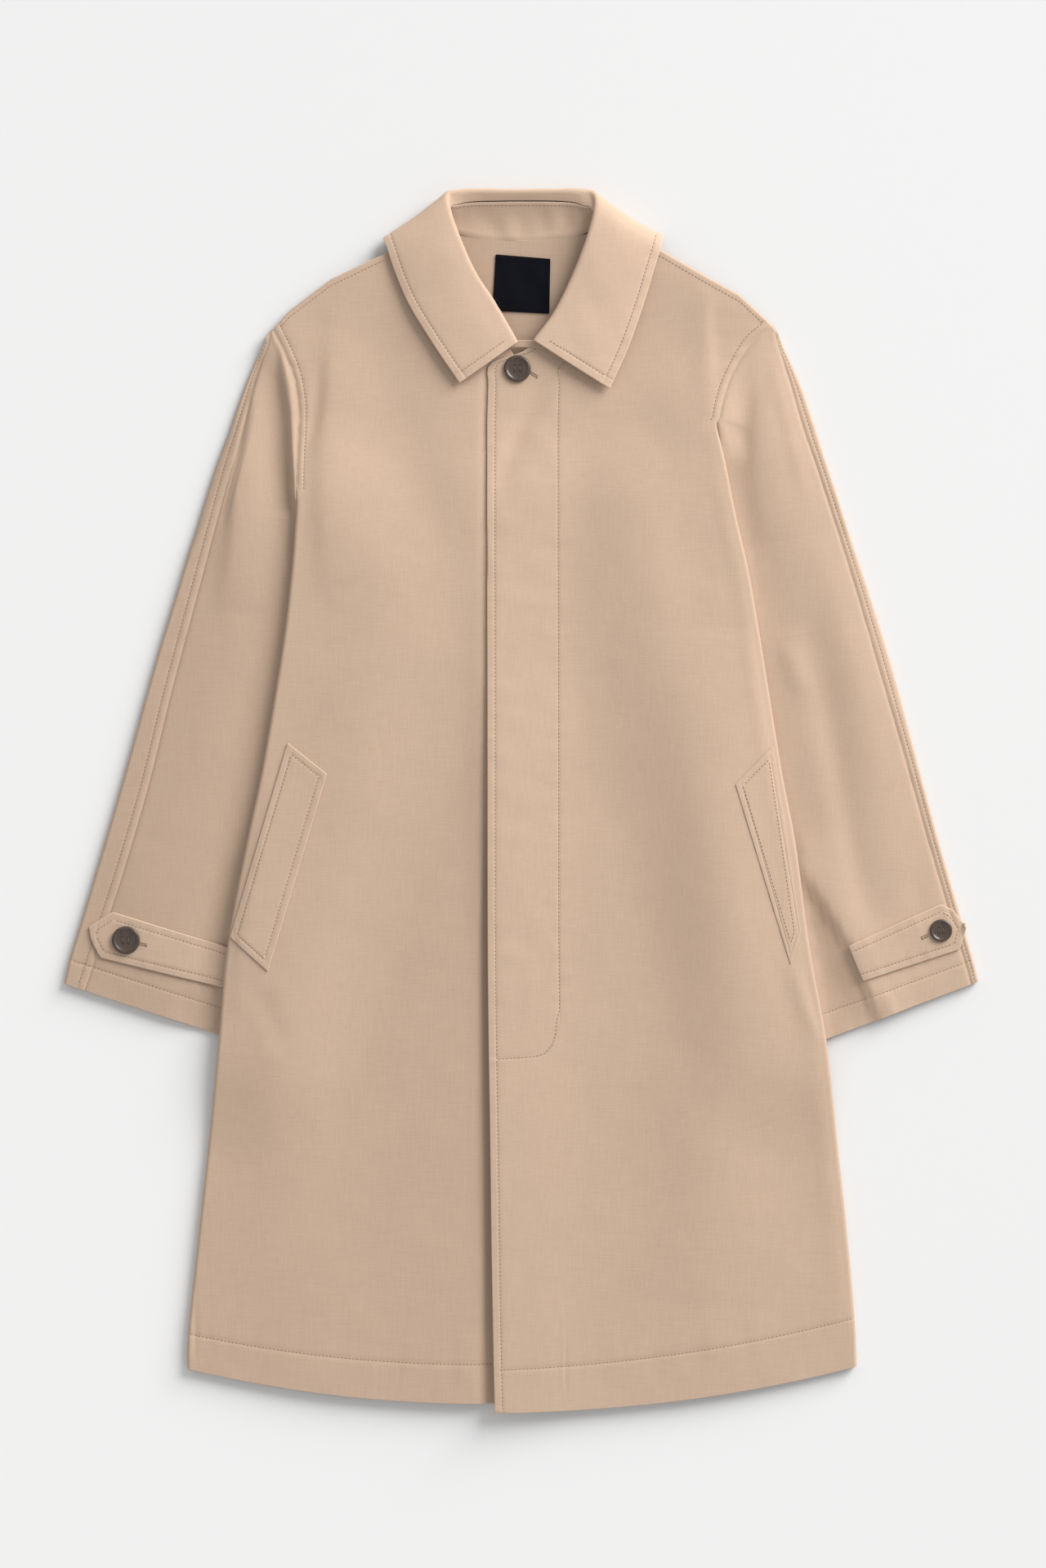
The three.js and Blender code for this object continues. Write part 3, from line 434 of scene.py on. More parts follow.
def body_round(x, y, from_side, row):
    """1 on the flat, down to 0 at the body's free edges, which aren't along the armholes or neck."""
    free = np.clip(UNDERARM + 0.2 - row, 0, 1)
    side = 1 - free * (1 - rounded(from_side, EDGE_ROUND))
    neck = 1 - smooth((np.abs(x) - NECK_HALF) / 8)
    shoulder = rounded(0.9 * np.maximum(0, shoulder_y(x) - y), EDGE_ROUND)
    return np.minimum(side, shoulder + (1 - shoulder) * neck)


def back_under(x, y, from_side, row):
    return lift(x, y) + (BODY_FOLD / 2 - 0.1) * (1 - body_round(x, y, from_side, row))


def body_top(x, y, from_side, row):
    from_edge = np.where(np.abs(x) > NECK_HALF, np.minimum(from_side, shoulder_y(x) - y), from_side)
    settled = BODY_FLAT + (SKIRT_FLAT - BODY_FLAT) * smooth((345 - y) / 80)
    settle = SETTLE + SKIRT_SETTLE * smooth((100 - y) / 200)
    flat = BODY_FOLD + (settled - BODY_FOLD) * smooth(from_edge / settle)
    half = BODY_FOLD / 2 + 0.1
    height = half + (flat - half) * body_round(x, y, from_side, row)
    centre = np.interp(y, CENTRE_AT, CENTRE_RISE) * bell(x + 31, np.where(x < -31, 66, 58))
    shape = centre + crease_field(BODY_CREASES, x, y) + slack(x, y, 11)
    return lift(x, y) + height + shape * smooth(from_edge / 16)


def right_top(x, y, from_side, row):
    sink = 1.3 + 2.5 * smooth((110 - y) / 220)
    sunk = body_top(x, y, from_side, row) - sink * smooth((x + 38) / 7)
    return sunk + crease_field(RIGHT_ONLY, x, y)


def left_top(x, y, from_side, row):
    raised = body_top(x, y, from_side, row) + 0.8 * (1 - smooth((x - 12) / 50))
    return raised + crease_field(LEFT_ONLY, x, y)


def body_plan(starts, ends, bows, at, t):
    """Points in plan of the body's rows at, at the fractions t of each row."""
    a, b = through(starts, at)[:, None], through(ends, at)[:, None]
    x, y = ((a + (b - a) * t[..., None])[..., k] for k in (0, 1))
    top_x = starts[-1, 0] + (ends[-1, 0] - starts[-1, 0]) * t
    top_y = starts[-1, 1] + (ends[-1, 1] - starts[-1, 1]) * t
    bow = through(bows, at)[:, None]
    pull = (np.clip((at - UNDERARM) / (TOP_ROW - UNDERARM), 0, 1) ** 1.6)[:, None]
    return x, y - 4 * bow * t * (1 - t) + pull * (shoulder_y(top_x) - top_y)


def row_lengths(starts, ends, at):
    return np.linalg.norm(through(ends, at) - through(starts, at), axis=1)


def row_places(table, spacing):
    """Fractional row numbers a spacing apart along a table's points, closer at both ends."""
    fine = np.linspace(0, len(table) - 1, 2001)
    run = run_along(through(table, fine))
    end = run[-1]
    even = np.linspace(0, end, int(end / spacing) + 1)
    places = np.unique(np.round(np.concatenate([even, [0.6, 1.6, end - 0.6, end - 1.6, end - 3]]), 3))
    return np.interp(places[(places >= 0) & (places <= end)], run, fine)


def columns(lengths, near, far, spacing):
    """Distances from each row's start: near ones, even ones, then ones counted from its end."""
    near, far = np.asarray(near, float), np.asarray(far, float)
    squeeze = np.minimum(1, 0.8 * lengths / (near[-1] + far[-1]))[:, None]
    start, end = near[None] * squeeze, lengths[:, None] - far[::-1][None] * squeeze
    room = end[:, :1] - start[:, -1:]
    count = max(2, int(np.median(room) / spacing))
    middle = start[:, -1:] + room * np.linspace(0, 1, count + 1)[None, 1:-1]
    return np.concatenate([start, middle, end], axis=1)


def added(name, data):
    """A new object, linked into the scene."""
    obj = bpy.data.objects.new(name, data)
    bpy.context.collection.objects.link(obj)
    return obj


def mesh_of(name, verts, faces):
    """A mesh in metres from vertices in millimetres."""
    mesh = bpy.data.meshes.new(name)
    mesh.from_pydata([tuple(v) for v in np.asarray(verts) * MM], [], faces)
    return mesh


def mesh_object(name, verts, faces, material):
    """A smooth mesh as a piece of the root body, in its slot."""
    mesh = mesh_of(name, verts, faces)
    mesh.validate()
    mesh.shade_smooth()
    mesh.materials.append(material)
    obj = added(name, mesh)
    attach(obj, "root")
    return obj


def grid_normals(grid):
    return unit(np.cross(np.gradient(grid, axis=1), np.gradient(grid, axis=0)))


def grid_faces(rows, cols, first, flip=False):
    i, j = np.meshgrid(np.arange(rows - 1), np.arange(cols - 1), indexing="ij")
    a = (first + i * cols + j).ravel()
    quads = np.stack([a, a + 1, a + cols + 1, a + cols], axis=1)
    return (quads[:, ::-1] if flip else quads).tolist()


def border(rows, cols):
    """Grid places round the border, in order."""
    top = [(0, j) for j in range(cols)]
    right = [(i, cols - 1) for i in range(1, rows)]
    bottom = [(rows - 1, j) for j in range(cols - 2, -1, -1)]
    left = [(i, 0) for i in range(rows - 2, 0, -1)]
    return np.array(top + right + bottom + left)


def shell(name, grid, thick, material, turned=False):
    """A closed cloth wall under the grid of its outer face, with a rounded rim."""
    if turned:
        grid = grid[:, ::-1]
    rows, cols = grid.shape[:2]
    normals = grid_normals(grid)
    place = border(rows, cols)
    p, n = grid[place[:, 0], place[:, 1]], normals[place[:, 0], place[:, 1]]
    away = unit(np.cross(np.roll(p, -1, axis=0) - np.roll(p, 1, axis=0), n))
    rings = []
    for degrees in (35, 90, 145):
        c, s = math.cos(math.radians(degrees)), math.sin(math.radians(degrees))
        rings.append(p + thick / 2 * ((c - 1) * n + s * away))
    verts = np.concatenate([grid.reshape(-1, 3), (grid - thick * normals).reshape(-1, 3), *rings])
    size, loop = rows * cols, len(place)
    outer = place[:, 0] * cols + place[:, 1]
    loops = [outer, *(2 * size + k * loop + np.arange(loop) for k in range(3)), outer + size]
    faces = grid_faces(rows, cols, 0) + grid_faces(rows, cols, size, flip=True)
    for a, b in zip(loops, loops[1:]):
        faces += np.stack([a, b, np.roll(b, -1), np.roll(a, -1)], axis=1).tolist()
    obj = mesh_object(name, verts, faces, material)
    # The rim rings and the outer face's border get a value that lightens the cloth there: partly wear,
    # partly a painted highlight along the folded edges.
    wear_and_highlight = np.concatenate([np.zeros(2 * size), np.ones(3 * loop)])
    wear_and_highlight[outer] = 0.7
    obj.data.attributes.new("wear_and_highlight", "FLOAT", "POINT").data.foreach_set("value", wear_and_highlight)
    return obj


class Look:
    """A material, with short ways to add its nodes."""

    def __init__(self, name, roughness, **inputs):
        self.material = bpy.data.materials.new(name)
        self.material.use_nodes = True
        self.tree = self.material.node_tree
        self.shader = self.tree.nodes["Principled BSDF"]
        for key, value in {"Roughness": roughness, **inputs}.items():
            self.put(self.shader.inputs[key.replace("_", " ")], value)

    def put(self, socket, value):
        if isinstance(value, bpy.types.NodeSocket):
            self.tree.links.new(value, socket)
        else:
            socket.default_value = value

    def node(self, kind, inputs, out=0, **settings):
        """One output of a new node."""
        node = self.tree.nodes.new("ShaderNode" + kind)
        for key, value in settings.items():
            setattr(node, key, value)
        for key, value in inputs.items():
            self.put(node.inputs[key], value)
        return node.outputs[out]

    def placed(self, angle=0.0, scale=(1, 1, 1)):
        """Object coordinates turned by an angle in degrees and scaled."""
        turn = (0, 0, math.radians(angle))
        inputs = {"Vector": self.node("TexCoord", {}, "Object"), "Rotation": turn, "Scale": scale}
        return self.node("Mapping", inputs, vector_type="POINT")

    def noise(self, vector, scale, detail=2.0, roughness=0.5):
        inputs = {"Vector": vector, "Scale": scale, "Detail": detail, "Roughness": roughness}
        return self.node("TexNoise", inputs, "Fac")

    def both_ways(self, angle, stretch, scale, detail):
        """The sum of threads along and across an angle."""
        along = self.noise(self.placed(angle, (1, stretch, 1)), scale, detail)
        across = self.noise(self.placed(angle, (stretch, 1, 1)), scale, detail)
        return self.node("Math", {0: along, 1: across}, operation="ADD")

    def mixed(self, factor, a, b, kind="MIX"):
        inputs = {"Factor": factor, 6: a, 7: b}
        return self.node("Mix", inputs, 2, data_type="RGBA", blend_type=kind)

    def shaded(self, colour, value):
        """A colour times a grey value."""
        grey = self.node("CombineColor", {0: value, 1: value, 2: value})
        return self.mixed(1.0, colour, grey, "MULTIPLY")

    def ranged(self, value, low, high, to_low, to_high):
        return self.node("MapRange", {0: value, 1: low, 2: high, 3: to_low, 4: to_high})

    def bump(self, height, distance, strength, **before):
        inputs = {"Height": height, "Distance": distance, "Strength": strength, **before}
        return self.node("Bump", inputs, "Normal")

    def done(self, colour, normal, roughness=None):
        self.put(self.shader.inputs["Base Color"], colour)
        self.put(self.shader.inputs["Normal"], normal)
        if roughness is not None:
            self.put(self.shader.inputs["Roughness"], roughness)
        return self.material


COTTON = {"dark": (0.445, 0.313, 0.223), "mid": (0.545, 0.394, 0.289), "light": (0.589, 0.433, 0.324)}
# The colour that edges are lightened towards: partly wear, partly a painted highlight.
COTTON_WORN_HIGHLIT, WHITE = (0.83, 0.68, 0.56, 1), (1, 1, 1, 1)


def cloth_material(name, angle, painted_light_scale=1.0):
    """A tight cotton weave: fine threads both ways, slubs, soft mottling, and edges lightened partly as
    wear and partly as a painted highlight.
    """
    look = Look(name, 0.86, Sheen_Weight=0.12, Sheen_Roughness=0.5, Specular_IOR_Level=0.25)
    # A scale other than 1 lightens or darkens the whole cloth: painted light or painted shade for a piece
    # that lies in light or in shade.
    tone = {name: (*(value * painted_light_scale for value in colour), 1) for name, colour in COTTON.items()}
    threads = look.both_ways(angle, 0.045, 1150, 2)
    slubs = look.both_ways(angle, 0.12, 420, 3)
    patches = look.noise(look.placed(angle), 14, 4, 0.6)
    colour = look.mixed(look.ranged(threads, 0.75, 1.25, 0, 1), tone["dark"], tone["light"])
    colour = look.mixed(0.74, colour, tone["mid"])
    colour = look.shaded(colour, look.ranged(slubs, 0.7, 1.3, 0.99, 1.01))
    colour = look.shaded(colour, look.ranged(patches, 0.3, 0.7, 0.985, 1.015))
    # Lighter edges: partly wear, partly a painted highlight where the folds catch the light.
    wear_and_highlight = look.node("Attribute", {}, "Fac", attribute_name="wear_and_highlight")
    colour = look.mixed(look.ranged(wear_and_highlight, 0, 1, 0, 0.22), colour, COTTON_WORN_HIGHLIT)
    normal = look.bump(threads, 0.00010, 0.6, Normal=look.bump(slubs, 0.00010, 0.4))
    return look.done(colour, normal, look.ranged(slubs, 0.7, 1.3, 0.8, 0.92))


def thread_material(name, dark, light):
    look = Look(name, 0.6, Sheen_Weight=0.2)
    twist = look.noise(look.placed(30, (1, 0.3, 1)), 900)
    return look.done(look.mixed(twist, dark, light), look.bump(twist, 0.0001, 0.5))


def horn_material():
    """Dark brown polished horn: cloudy streaks and a few fine scratches."""
    look = Look("horn", 0.3, Coat_Weight=0.35, Coat_Roughness=0.15)
    streaks = look.noise(look.placed(25, (1, 0.22, 1)), 330, 4, 0.6)
    clouds = look.noise(look.placed(), 120, 3)
    scratches = look.noise(look.placed(-40, (1, 0.03, 1)), 2400, 1)
    colour = look.mixed(streaks, (0.016, 0.010, 0.008, 1), (0.115, 0.072, 0.052, 1))
    colour = look.mixed(look.ranged(clouds, 0.4, 0.7, 0, 0.5), colour, (0.055, 0.034, 0.026, 1))
    roughness = look.ranged(scratches, 0.3, 0.7, 0.24, 0.42)
    return look.done(colour, look.bump(scratches, 0.00003, 0.4), roughness)


def label_material():
    """Navy satin-woven ribbon: tight ribs across it."""
    look = Look("label_weave", 0.7, Specular_IOR_Level=0.05)
    across = look.noise(look.placed(-4, (0.05, 1, 1)), 1500)
    along = look.noise(look.placed(-4, (1, 0.08, 1)), 900)
    patches = look.noise(look.placed(), 45, 3)
    colour = look.mixed(across, (0.0022, 0.0023, 0.0042, 1), (0.0052, 0.0056, 0.0095, 1))
    colour = look.mixed(look.ranged(patches, 0.35, 0.7, 0, 0.4), colour, (0.007, 0.0075, 0.012, 1))
    ribs = look.node("Math", {0: across, 1: along}, operation="ADD")
    return look.done(colour, look.bump(ribs, 0.0001, 0.7), look.ranged(along, 0.3, 0.7, 0.5, 0.75))


def floor_material():
    """Pale paper, whose slight change of tone evens out the light on it."""
    look = Look("paper", 0.9)
    grain = look.noise(look.placed(), 60, 5, 0.6)
    across = look.node("SeparateXYZ", {0: look.placed(45)}, 1)
    tone = look.ranged(across, -1.1, 1.1, 0, 1)
    colour = look.mixed(tone, (0.94, 0.94, 0.94, 1), (0.645, 0.647, 0.65, 1))
    colour = look.mixed(look.ranged(grain, 0, 1, 0, 0.03), colour, WHITE)
    return look.done(colour, look.bump(grain, 0.00005, 0.3))


CLOTH_BODY = cloth_material("cloth_body", 0)
# The right sleeve's cloth is darkened: painted shade, as that sleeve lies turned away from the light.
CLOTH_RIGHT_SHADED = cloth_material("cloth_sleeve_right_painted_shade", 16, 0.92)
CLOTH_LEFT = cloth_material("cloth_sleeve_left", -16)
# The collar's cloth is lightened: painted light, for the more strongly lit top of the coat.
CLOTH_COLLAR_LIT = cloth_material("cloth_collar_painted_light", 38, 1.12)
# The back's cloth is darkened: painted shade, for the inside of the neck in the collar's shadow.
CLOTH_BACK_SHADED = cloth_material("cloth_back_painted_shade", 0, 0.87)
# The stand's cloth is darkened: painted shade, for its place in the shade inside the folded collar.
CLOTH_STAND_SHADED = cloth_material("cloth_stand_painted_shade", 38, 0.95)
CLOTH_TRIM_RIGHT = cloth_material("cloth_trim_right", 16)
CLOTH_TRIM_LEFT = cloth_material("cloth_trim_left", -10)
THREAD = thread_material("thread", (0.25, 0.165, 0.11, 1), (0.38, 0.265, 0.185, 1))
THREAD_LIGHT = thread_material("thread_button", (0.10, 0.07, 0.05, 1), (0.2, 0.15, 0.12, 1))
HORN, NAVY = horn_material(), label_material()


def hem_rows(at):
    """Row numbers with extra ones across the stitching of the hem, the fly's foot and the shoulder."""
    foot = 3.81 + np.arange(-3, 3.1, 1) * 1.1 / 86
    ends = np.array([0, 0.003, 0.012, 0.03, 0.06, 0.1])
    more = [at, 1 + ACROSS / HEM, foot, 19.85 + ACROSS / 60, ends, at[-1] - ends]
    return np.unique(np.round(np.concatenate(more), 4))


def panel_grid(starts, ends, bows, edges, rows_apart, columns_apart):
    """A body panel's points in plan, how far they are from its two sides, and their rows."""
    at = hem_rows(row_places((starts + ends) / 2, rows_apart))
    lengths = row_lengths(starts, ends, at)
    d = columns(lengths, *edges, columns_apart)
    x, y = body_plan(starts, ends, bows, at, d / lengths[:, None])
    return x, y, d, lengths[:, None] - d, np.repeat(at[:, None], d.shape[1], 1)


def front(name, starts, ends, far, height_at, relief, turned):
    edges = (ARMHOLE_EDGE, far)
    x, y, from_side, from_end, row = panel_grid(starts, ends, FRONT_BOW, edges, 4.7, 4.9)
    z = lift(x, y) + soft_floor(height_at(x, y, from_side, row) - lift(x, y), 3.0)
    z += relief(x, y, from_side, from_end, row)
    return shell(name, np.dstack([x, y, z]), CLOTH, CLOTH_BODY, turned)


def panel_relief(x, y, from_side, row, seed):
    """Armhole and hem stitching, the dip at the armhole seam and the gathers beside both."""
    armhole = smooth((row - UNDERARM - 0.2) / 0.6)
    hem = (row - 1) * HEM
    total = armhole * (groove(from_side - ARMHOLE_STITCH, 0.35) - 0.9 * bell(from_side, 1.6))
    total += armhole * pucker(from_side - 4, y, seed, 6, 0.26)
    total += groove(hem, 0.3) + pucker(hem + 2, x, seed + 2, 14, 0.22)
    return total


def right_relief(x, y, from_side, from_end, row):
    return panel_relief(x, y, from_side, row, 21)


def left_relief(x, y, from_side, from_end, row):
    edge = 1 - smooth((row - 18.4) / 0.8)
    fly = smooth((y + FLY_FOOT) / 8) * smooth((16.9 - row) / 0.5)
    total = panel_relief(x, y, from_side, row, 31)
    total += edge * (groove(from_end - EDGE_STITCH, 0.3) + pucker(from_end - 4, y, 33, 7, 0.22))
    total += groove(line_distance(FLY_TURN, x, y)) * (y < -FLY_FOOT)
    total += fly * (groove(from_end - FLY_STITCH) + pucker(from_end - FLY_STITCH, y, 35, 9, 0.2))
    strip = smooth(from_end / 9) * smooth((FLY_STITCH - from_end) / 9)
    total += fly * strip * 0.2 * undulation(x, y, 27, 37)
    return total


def back_panel():
    x, y, from_right, from_left, row = panel_grid(RIGHT, LEFT, BACK_BOW, (ROUND_EDGE, ROUND_EDGE), 5.2, 6)
    from_side = np.minimum(from_right, from_left)
    z = back_under(x, y, from_side, row)
    wave = np.maximum(0, crease_field(BACK_CREASES, x, y) + 0.35 * undulation(x, y, 110, 41))
    z += 0.9 * np.minimum(wave, 1.3) * smooth(from_side / 30)
    z -= groove((row - 1) * HEM) * 0.8
    return shell("back_panel", np.dstack([x, y, z]), CLOTH, CLOTH_BACK_SHADED, True)


# A sleeve's table, creases and seed, the height of the front beside it, its cloth, and whether its
# grid is turned to face out. Then how it lies: the extra rounding of its outer edge, the rows over
# which it comes free of the body, the height of its crown and the width over which that rises,
# and 1 where it has the fold beside the armhole, 0 where it hasn't
Sleeve = namedtuple(
    "Sleeve", "table creases seed front_top material turned sloping release full ramp stepped")
SLEEVES = {
    "right": Sleeve(
        RIGHT_SLEEVE, RIGHT_SLEEVE_CREASES, 71, right_top, CLOTH_RIGHT_SHADED, True, 8.5, 1, 2.4, 80, 1),
    "left": Sleeve(
        LEFT_SLEEVE, LEFT_SLEEVE_CREASES, 81, left_top, CLOTH_LEFT, False, 0, 2, 2.6, 48, 0),
}


def armhole_gap(at):
    return np.where(at <= CAP, 0.3, 0.0)


def sleeve_height(face, cut, x, y, from_out, from_in, row, joint):
    """Height of a sleeve's face: the body's at the armhole, and its own away from there."""
    radius = SLEEVE_FOLD / 2
    turned = np.clip((row - CAP) / cut.release, 0, 1)
    outer = EDGE_ROUND + cut.sloping * smooth(row / 2) * (1 - smooth((row - 7) / 4))
    edge = np.minimum(rounded(from_out, outer), 1 - turned * (1 - rounded(from_in, EDGE_ROUND)))
    start = cut.stepped * np.interp(row, STEP_ROWS, STEP_FROM)
    width = JOINED + cut.stepped * (STEP_OVER - JOINED) * smooth((row - 1) / 3)
    near = smooth((from_in - start) / width)
    near = near + (1 - near) * turned
    inset = np.minimum(from_out, from_in)
    if face == "under":
        wave = 0.4 * undulation(x, y, 80, cut.seed + 3) + 0.25 * undulation(x, y, 40, cut.seed + 4)
        own = (radius - 0.1) * (1 - edge) + np.maximum(0, wave) * smooth(inset / 22)
        return joint + (own - joint) * near
    beyond = outside(BODY_OUTLINE, x, y)
    shape = crease_field(cut.creases, x, y) + slack(x, y, cut.seed)
    shape = shape * smooth(beyond / 3) * smooth(inset / 6)
    crown = cut.full * smooth(beyond / cut.ramp) * smooth(from_out / cut.ramp)
    crown = crown * smooth((18.4 - row) / 4)
    own = radius + 0.1 + (SLEEVE_FOLD - radius - 0.1) * edge + crown * smooth(inset / 9)
    height = joint + (own - joint) * near + shape
    under = UNDER_EDGE + 9 * (1 - smooth((row - CAP) / 2)) + 9 * smooth(beyond / 6)
    height = np.where(row > CAP, np.minimum(height, under), height)
    return np.where(inset > radius, soft_floor(height, 2.3), height)


def joint_height(face, cut, at, from_in):
    """Height of the body at the armhole, at the same distance from the seam."""
    x, y = (np.repeat(through(cut.table[:, k], at)[:, None], from_in.shape[1], 1) for k in (4, 5))
    row = np.repeat(UNDERARM + CAP - at[:, None], from_in.shape[1], 1)
    if face == "top":
        return np.maximum(cut.front_top(x, y, from_in, row), 5.6 - 6 * at[:, None])
    return np.minimum(back_under(x, y, from_in, row), 1.6 + 6 * at[:, None])


def sleeve_rows(table):
    ends = np.array([0.015, 0.05, 0.1, 0.2])
    more = [row_places(table[:, 2:4], 4.7), 17 + ACROSS / CUFF_HEM, 18 - ends, ends * 0.5]
    return np.unique(np.round(np.concatenate(more), 4))


def sleeve_grid(cut, face, at, from_out):
    """Points at distances from the outline, on one face of a sleeve."""
    inner, out = through(cut.table[:, 4:6], at), through(cut.table[:, 0:2], at)
    lengths = length_of(inner - out)
    t = from_out / lengths
    x, y = (out[:, k, None] + (inner - out)[:, k, None] * t for k in (0, 1))
    row = np.repeat(at[:, None], from_out.shape[1], 1)
    from_in = np.maximum(lengths - from_out - armhole_gap(at)[:, None], 0)
    joint = joint_height(face, cut, at, from_in)
    z = sleeve_height(face, cut, x, y, from_out, from_in, row, joint)
    cuff = (17 - row) * CUFF_HEM
    sign = 1 if face == "top" else -1
    z += sign * (groove(cuff, 0.25) + pucker(cuff - 2, from_out, cut.seed + 6, 9, 0.2))
    z -= sign * 0.8 * bell(from_in, 1.7) * (row < CAP + 0.5)
    return np.dstack([x, y, z])


def sleeve(side, cut):
    """A sleeve's upper piece, and its under piece, which turns over the outer edge to the seam."""
    at = sleeve_rows(cut.table)
    over, out, inner = (through(cut.table[:, k:k + 2], at) for k in (2, 0, 4))
    seam_at, lengths = np.linalg.norm(over - out, axis=1), np.linalg.norm(inner - out, axis=1)
    seam, gap = seam_at[:, None], armhole_gap(at)
    from_over = columns(lengths - seam_at - gap, SEAM_EDGE, SLEEVE_IN_EDGE, 4.8)
    upper = sleeve_grid(cut, "top", at, seam + 0.15 + from_over)
    upper[..., 2] -= 0.9 * bell(from_over, 1.4)
    scale = np.minimum(1, seam_at / SEAM_ROOM)[:, None]
    near = np.array(SEAM_EDGE_STITCHED)[None] * scale
    arc = SLEEVE_FOLD / 2 * (1 - np.cos(np.radians([90, 72, 56, 42, 30, 19, 9])))[None] * scale
    between = near[:, -1:] + (seam - near[:, -1:] - arc[:, :1]) * np.array([0.34, 0.67])[None]
    top_out = np.concatenate([seam - near, seam - between, arc], axis=1)
    top = sleeve_grid(cut, "top", at, top_out)
    from_seam = seam - top_out
    top[..., 2] += groove((from_seam / scale - OVERARM_STITCH) * scale, 0.3)
    top[..., 2] -= 0.7 * bell(from_seam, 1.3)
    top[..., 2] += pucker(from_seam - 4, at[:, None] * 26, cut.seed + 8, 6, 0.14)
    under_arc = SLEEVE_FOLD / 2 * (1 - np.cos(np.radians([0, 14, 28, 42, 58, 74, 90])))
    under_out = columns(lengths - gap, [*under_arc, 9, 15], SLEEVE_FREE_EDGE, 6)
    under = np.concatenate([top, sleeve_grid(cut, "under", at, under_out)], axis=1)
    return (
        shell(f"sleeve_{side}_upper", upper, CLOTH, cut.material, cut.turned),
        shell(f"sleeve_{side}_under", under, CLOTH, cut.material, not cut.turned),
    )


def collar_section(row):
    """Fine points across the collar: the stand from neck to seam, and the fall from there."""
    neck, seam, roll, mid, edge = (row[k:k + 3] for k in (0, 3, 6, 9, 12))
    away, tip = math.radians(row[15]), math.radians(row[16])
    outward, up = np.array([math.cos(away), math.sin(away), 0]), np.array([0, 0, 1.0])
    over = outward * math.cos(tip) + up * math.sin(tip)
    crest = up * math.cos(tip) - outward * math.sin(tip)
    a = np.radians(np.arange(-84, 73, 12))[:, None]
    turn = roll - crest * TURN + TURN * (crest * np.cos(a) + over * np.sin(a))
    t = np.linspace(0.04, 1, 40)[:, None]
    bend = turn[-1] * (1 - t) * (1 - 2 * t) + mid * 4 * t * (1 - t) + edge * t * (2 * t - 1)
    fall = np.concatenate([[seam + (turn[0] - seam) * 0.08], turn, bend])
    low = 0.13 * math.sin(away) ** 2
    t = np.linspace(-low, 0.955, 18)[:, None]
    stand = neck + (seam - neck) * t - up * 2.2 * np.sin(np.pi * np.clip(t, 0, 1)) * math.sin(away) ** 2
    stand = stand + up * 0.3 * low / 0.13 * (1 - np.clip(t * 6, 0, 1))
    return stand, fall


def collar():
    """The collar's fall with its two wings, and the stand inside it."""
    fine = np.linspace(0, len(COLLAR) - 1, 801)
    run = run_along(through(COLLAR[:, 9:12], fine))
    even = np.linspace(0, run[-1], int(run[-1] / 3.6))
    places = np.unique(np.concatenate([even, COLLAR_EDGE, run[-1] - np.array(COLLAR_EDGE)]))
    far = np.array([*COLLAR_EDGE, 12, 16, 20.5, 25])
    falls, stands, from_edge = [], [], []
    for row in through(COLLAR, np.interp(places, run, fine)):
        stand, fall = collar_section(row)
        across = run_along(fall)
        inner = np.linspace(0, across[-1] - far[-1], 22)[:-1]
        distances = np.concatenate([inner, across[-1] - far[::-1]])
        falls.append(points_at(distances, fall, across))
        stands.append(stand)
        from_edge.append(across[-1] - distances)
    falls, stands, from_edge = np.array(falls), np.array(stands), np.array(from_edge)
    from_front = np.minimum(places, run[-1] - places)[:, None]
    place = np.repeat(places[:, None], falls.shape[1], 1)
    wing = smooth((60 - from_edge) / 14)
    relief = groove(from_edge - COLLAR_STITCH, 0.3) + groove(from_front - COLLAR_STITCH, 0.3) * wing
    relief += pucker(from_edge - 4, place, 51, 8, 0.18) + 0.28 * undulation(place, from_edge, 42, 53) * wing
    nape = smooth((from_front - 165) / 45) * smooth((from_edge - 46) / 16)
    relief += 0.4 * undulation(place, from_edge * 0.5, 44, 57) * nape
    falls = falls - relief[..., None] * grid_normals(falls)
    falls[..., 2] = soft_floor(falls[..., 2], 0.2)
    across = np.linspace(0, 1, stands.shape[1])
    tab = STAND_TAB[0] + (STAND_TAB[1] - STAND_TAB[0]) * across[:, None]
    ends = [stands[-1] + (tab - stands[-1]) * smooth(t) for t in (0.15, 0.3, 0.45, 0.6, 0.75, 0.88, 1)]
    stands = np.concatenate([stands, np.array(ends)])
    around = np.repeat(np.arange(len(stands))[:, None] * 3.6, stands.shape[1], 1)
    stands[..., 2] += 0.6 * undulation(around, 17 * across[None], 34, 59) * np.sin(np.pi * across[None])
    return (
        shell("collar_top", falls, DOUBLED, CLOTH_COLLAR_LIT, True),
        shell("collar_band", stands, CLOTH, CLOTH_STAND_SHADED, True),
    )


def tree_of(obj):
    return BVHTree.FromPolygons([v.co for v in obj.data.vertices], [p.vertices for p in obj.data.polygons])


def top_of(tree, x, y, down=True):
    """The point of a surface over a place in plan, or under it, in millimetres."""
    way = 1 if down else -1
    hit = tree.ray_cast(Vector((x, y, way * 60.0)) * MM, Vector((0, 0, -way)))[0]
    return None if hit is None else np.array(hit) / MM


def laid(plan, trees, thick, air=ON_TOP, passes=6):
    """Heights of a flat piece's top on what it lies on, with its hollows bridged."""
    height = np.full(plan.shape[:2], np.nan)
    for place in np.ndindex(height.shape):
        hits = [top_of(tree, *plan[place]) for tree in trees]
        height[place] = max([hit[2] for hit in hits if hit is not None], default=np.nan)
    height = np.where(np.isnan(height), np.nanmean(height), height)
    for _ in range(passes):
        padded = np.pad(height, 1, mode="edge")
        around = (padded[:-2, 1:-1] + padded[2:, 1:-1] + padded[1:-1, :-2] + padded[1:-1, 2:]) / 4
        height = np.maximum(height, around)
    return height + air + thick


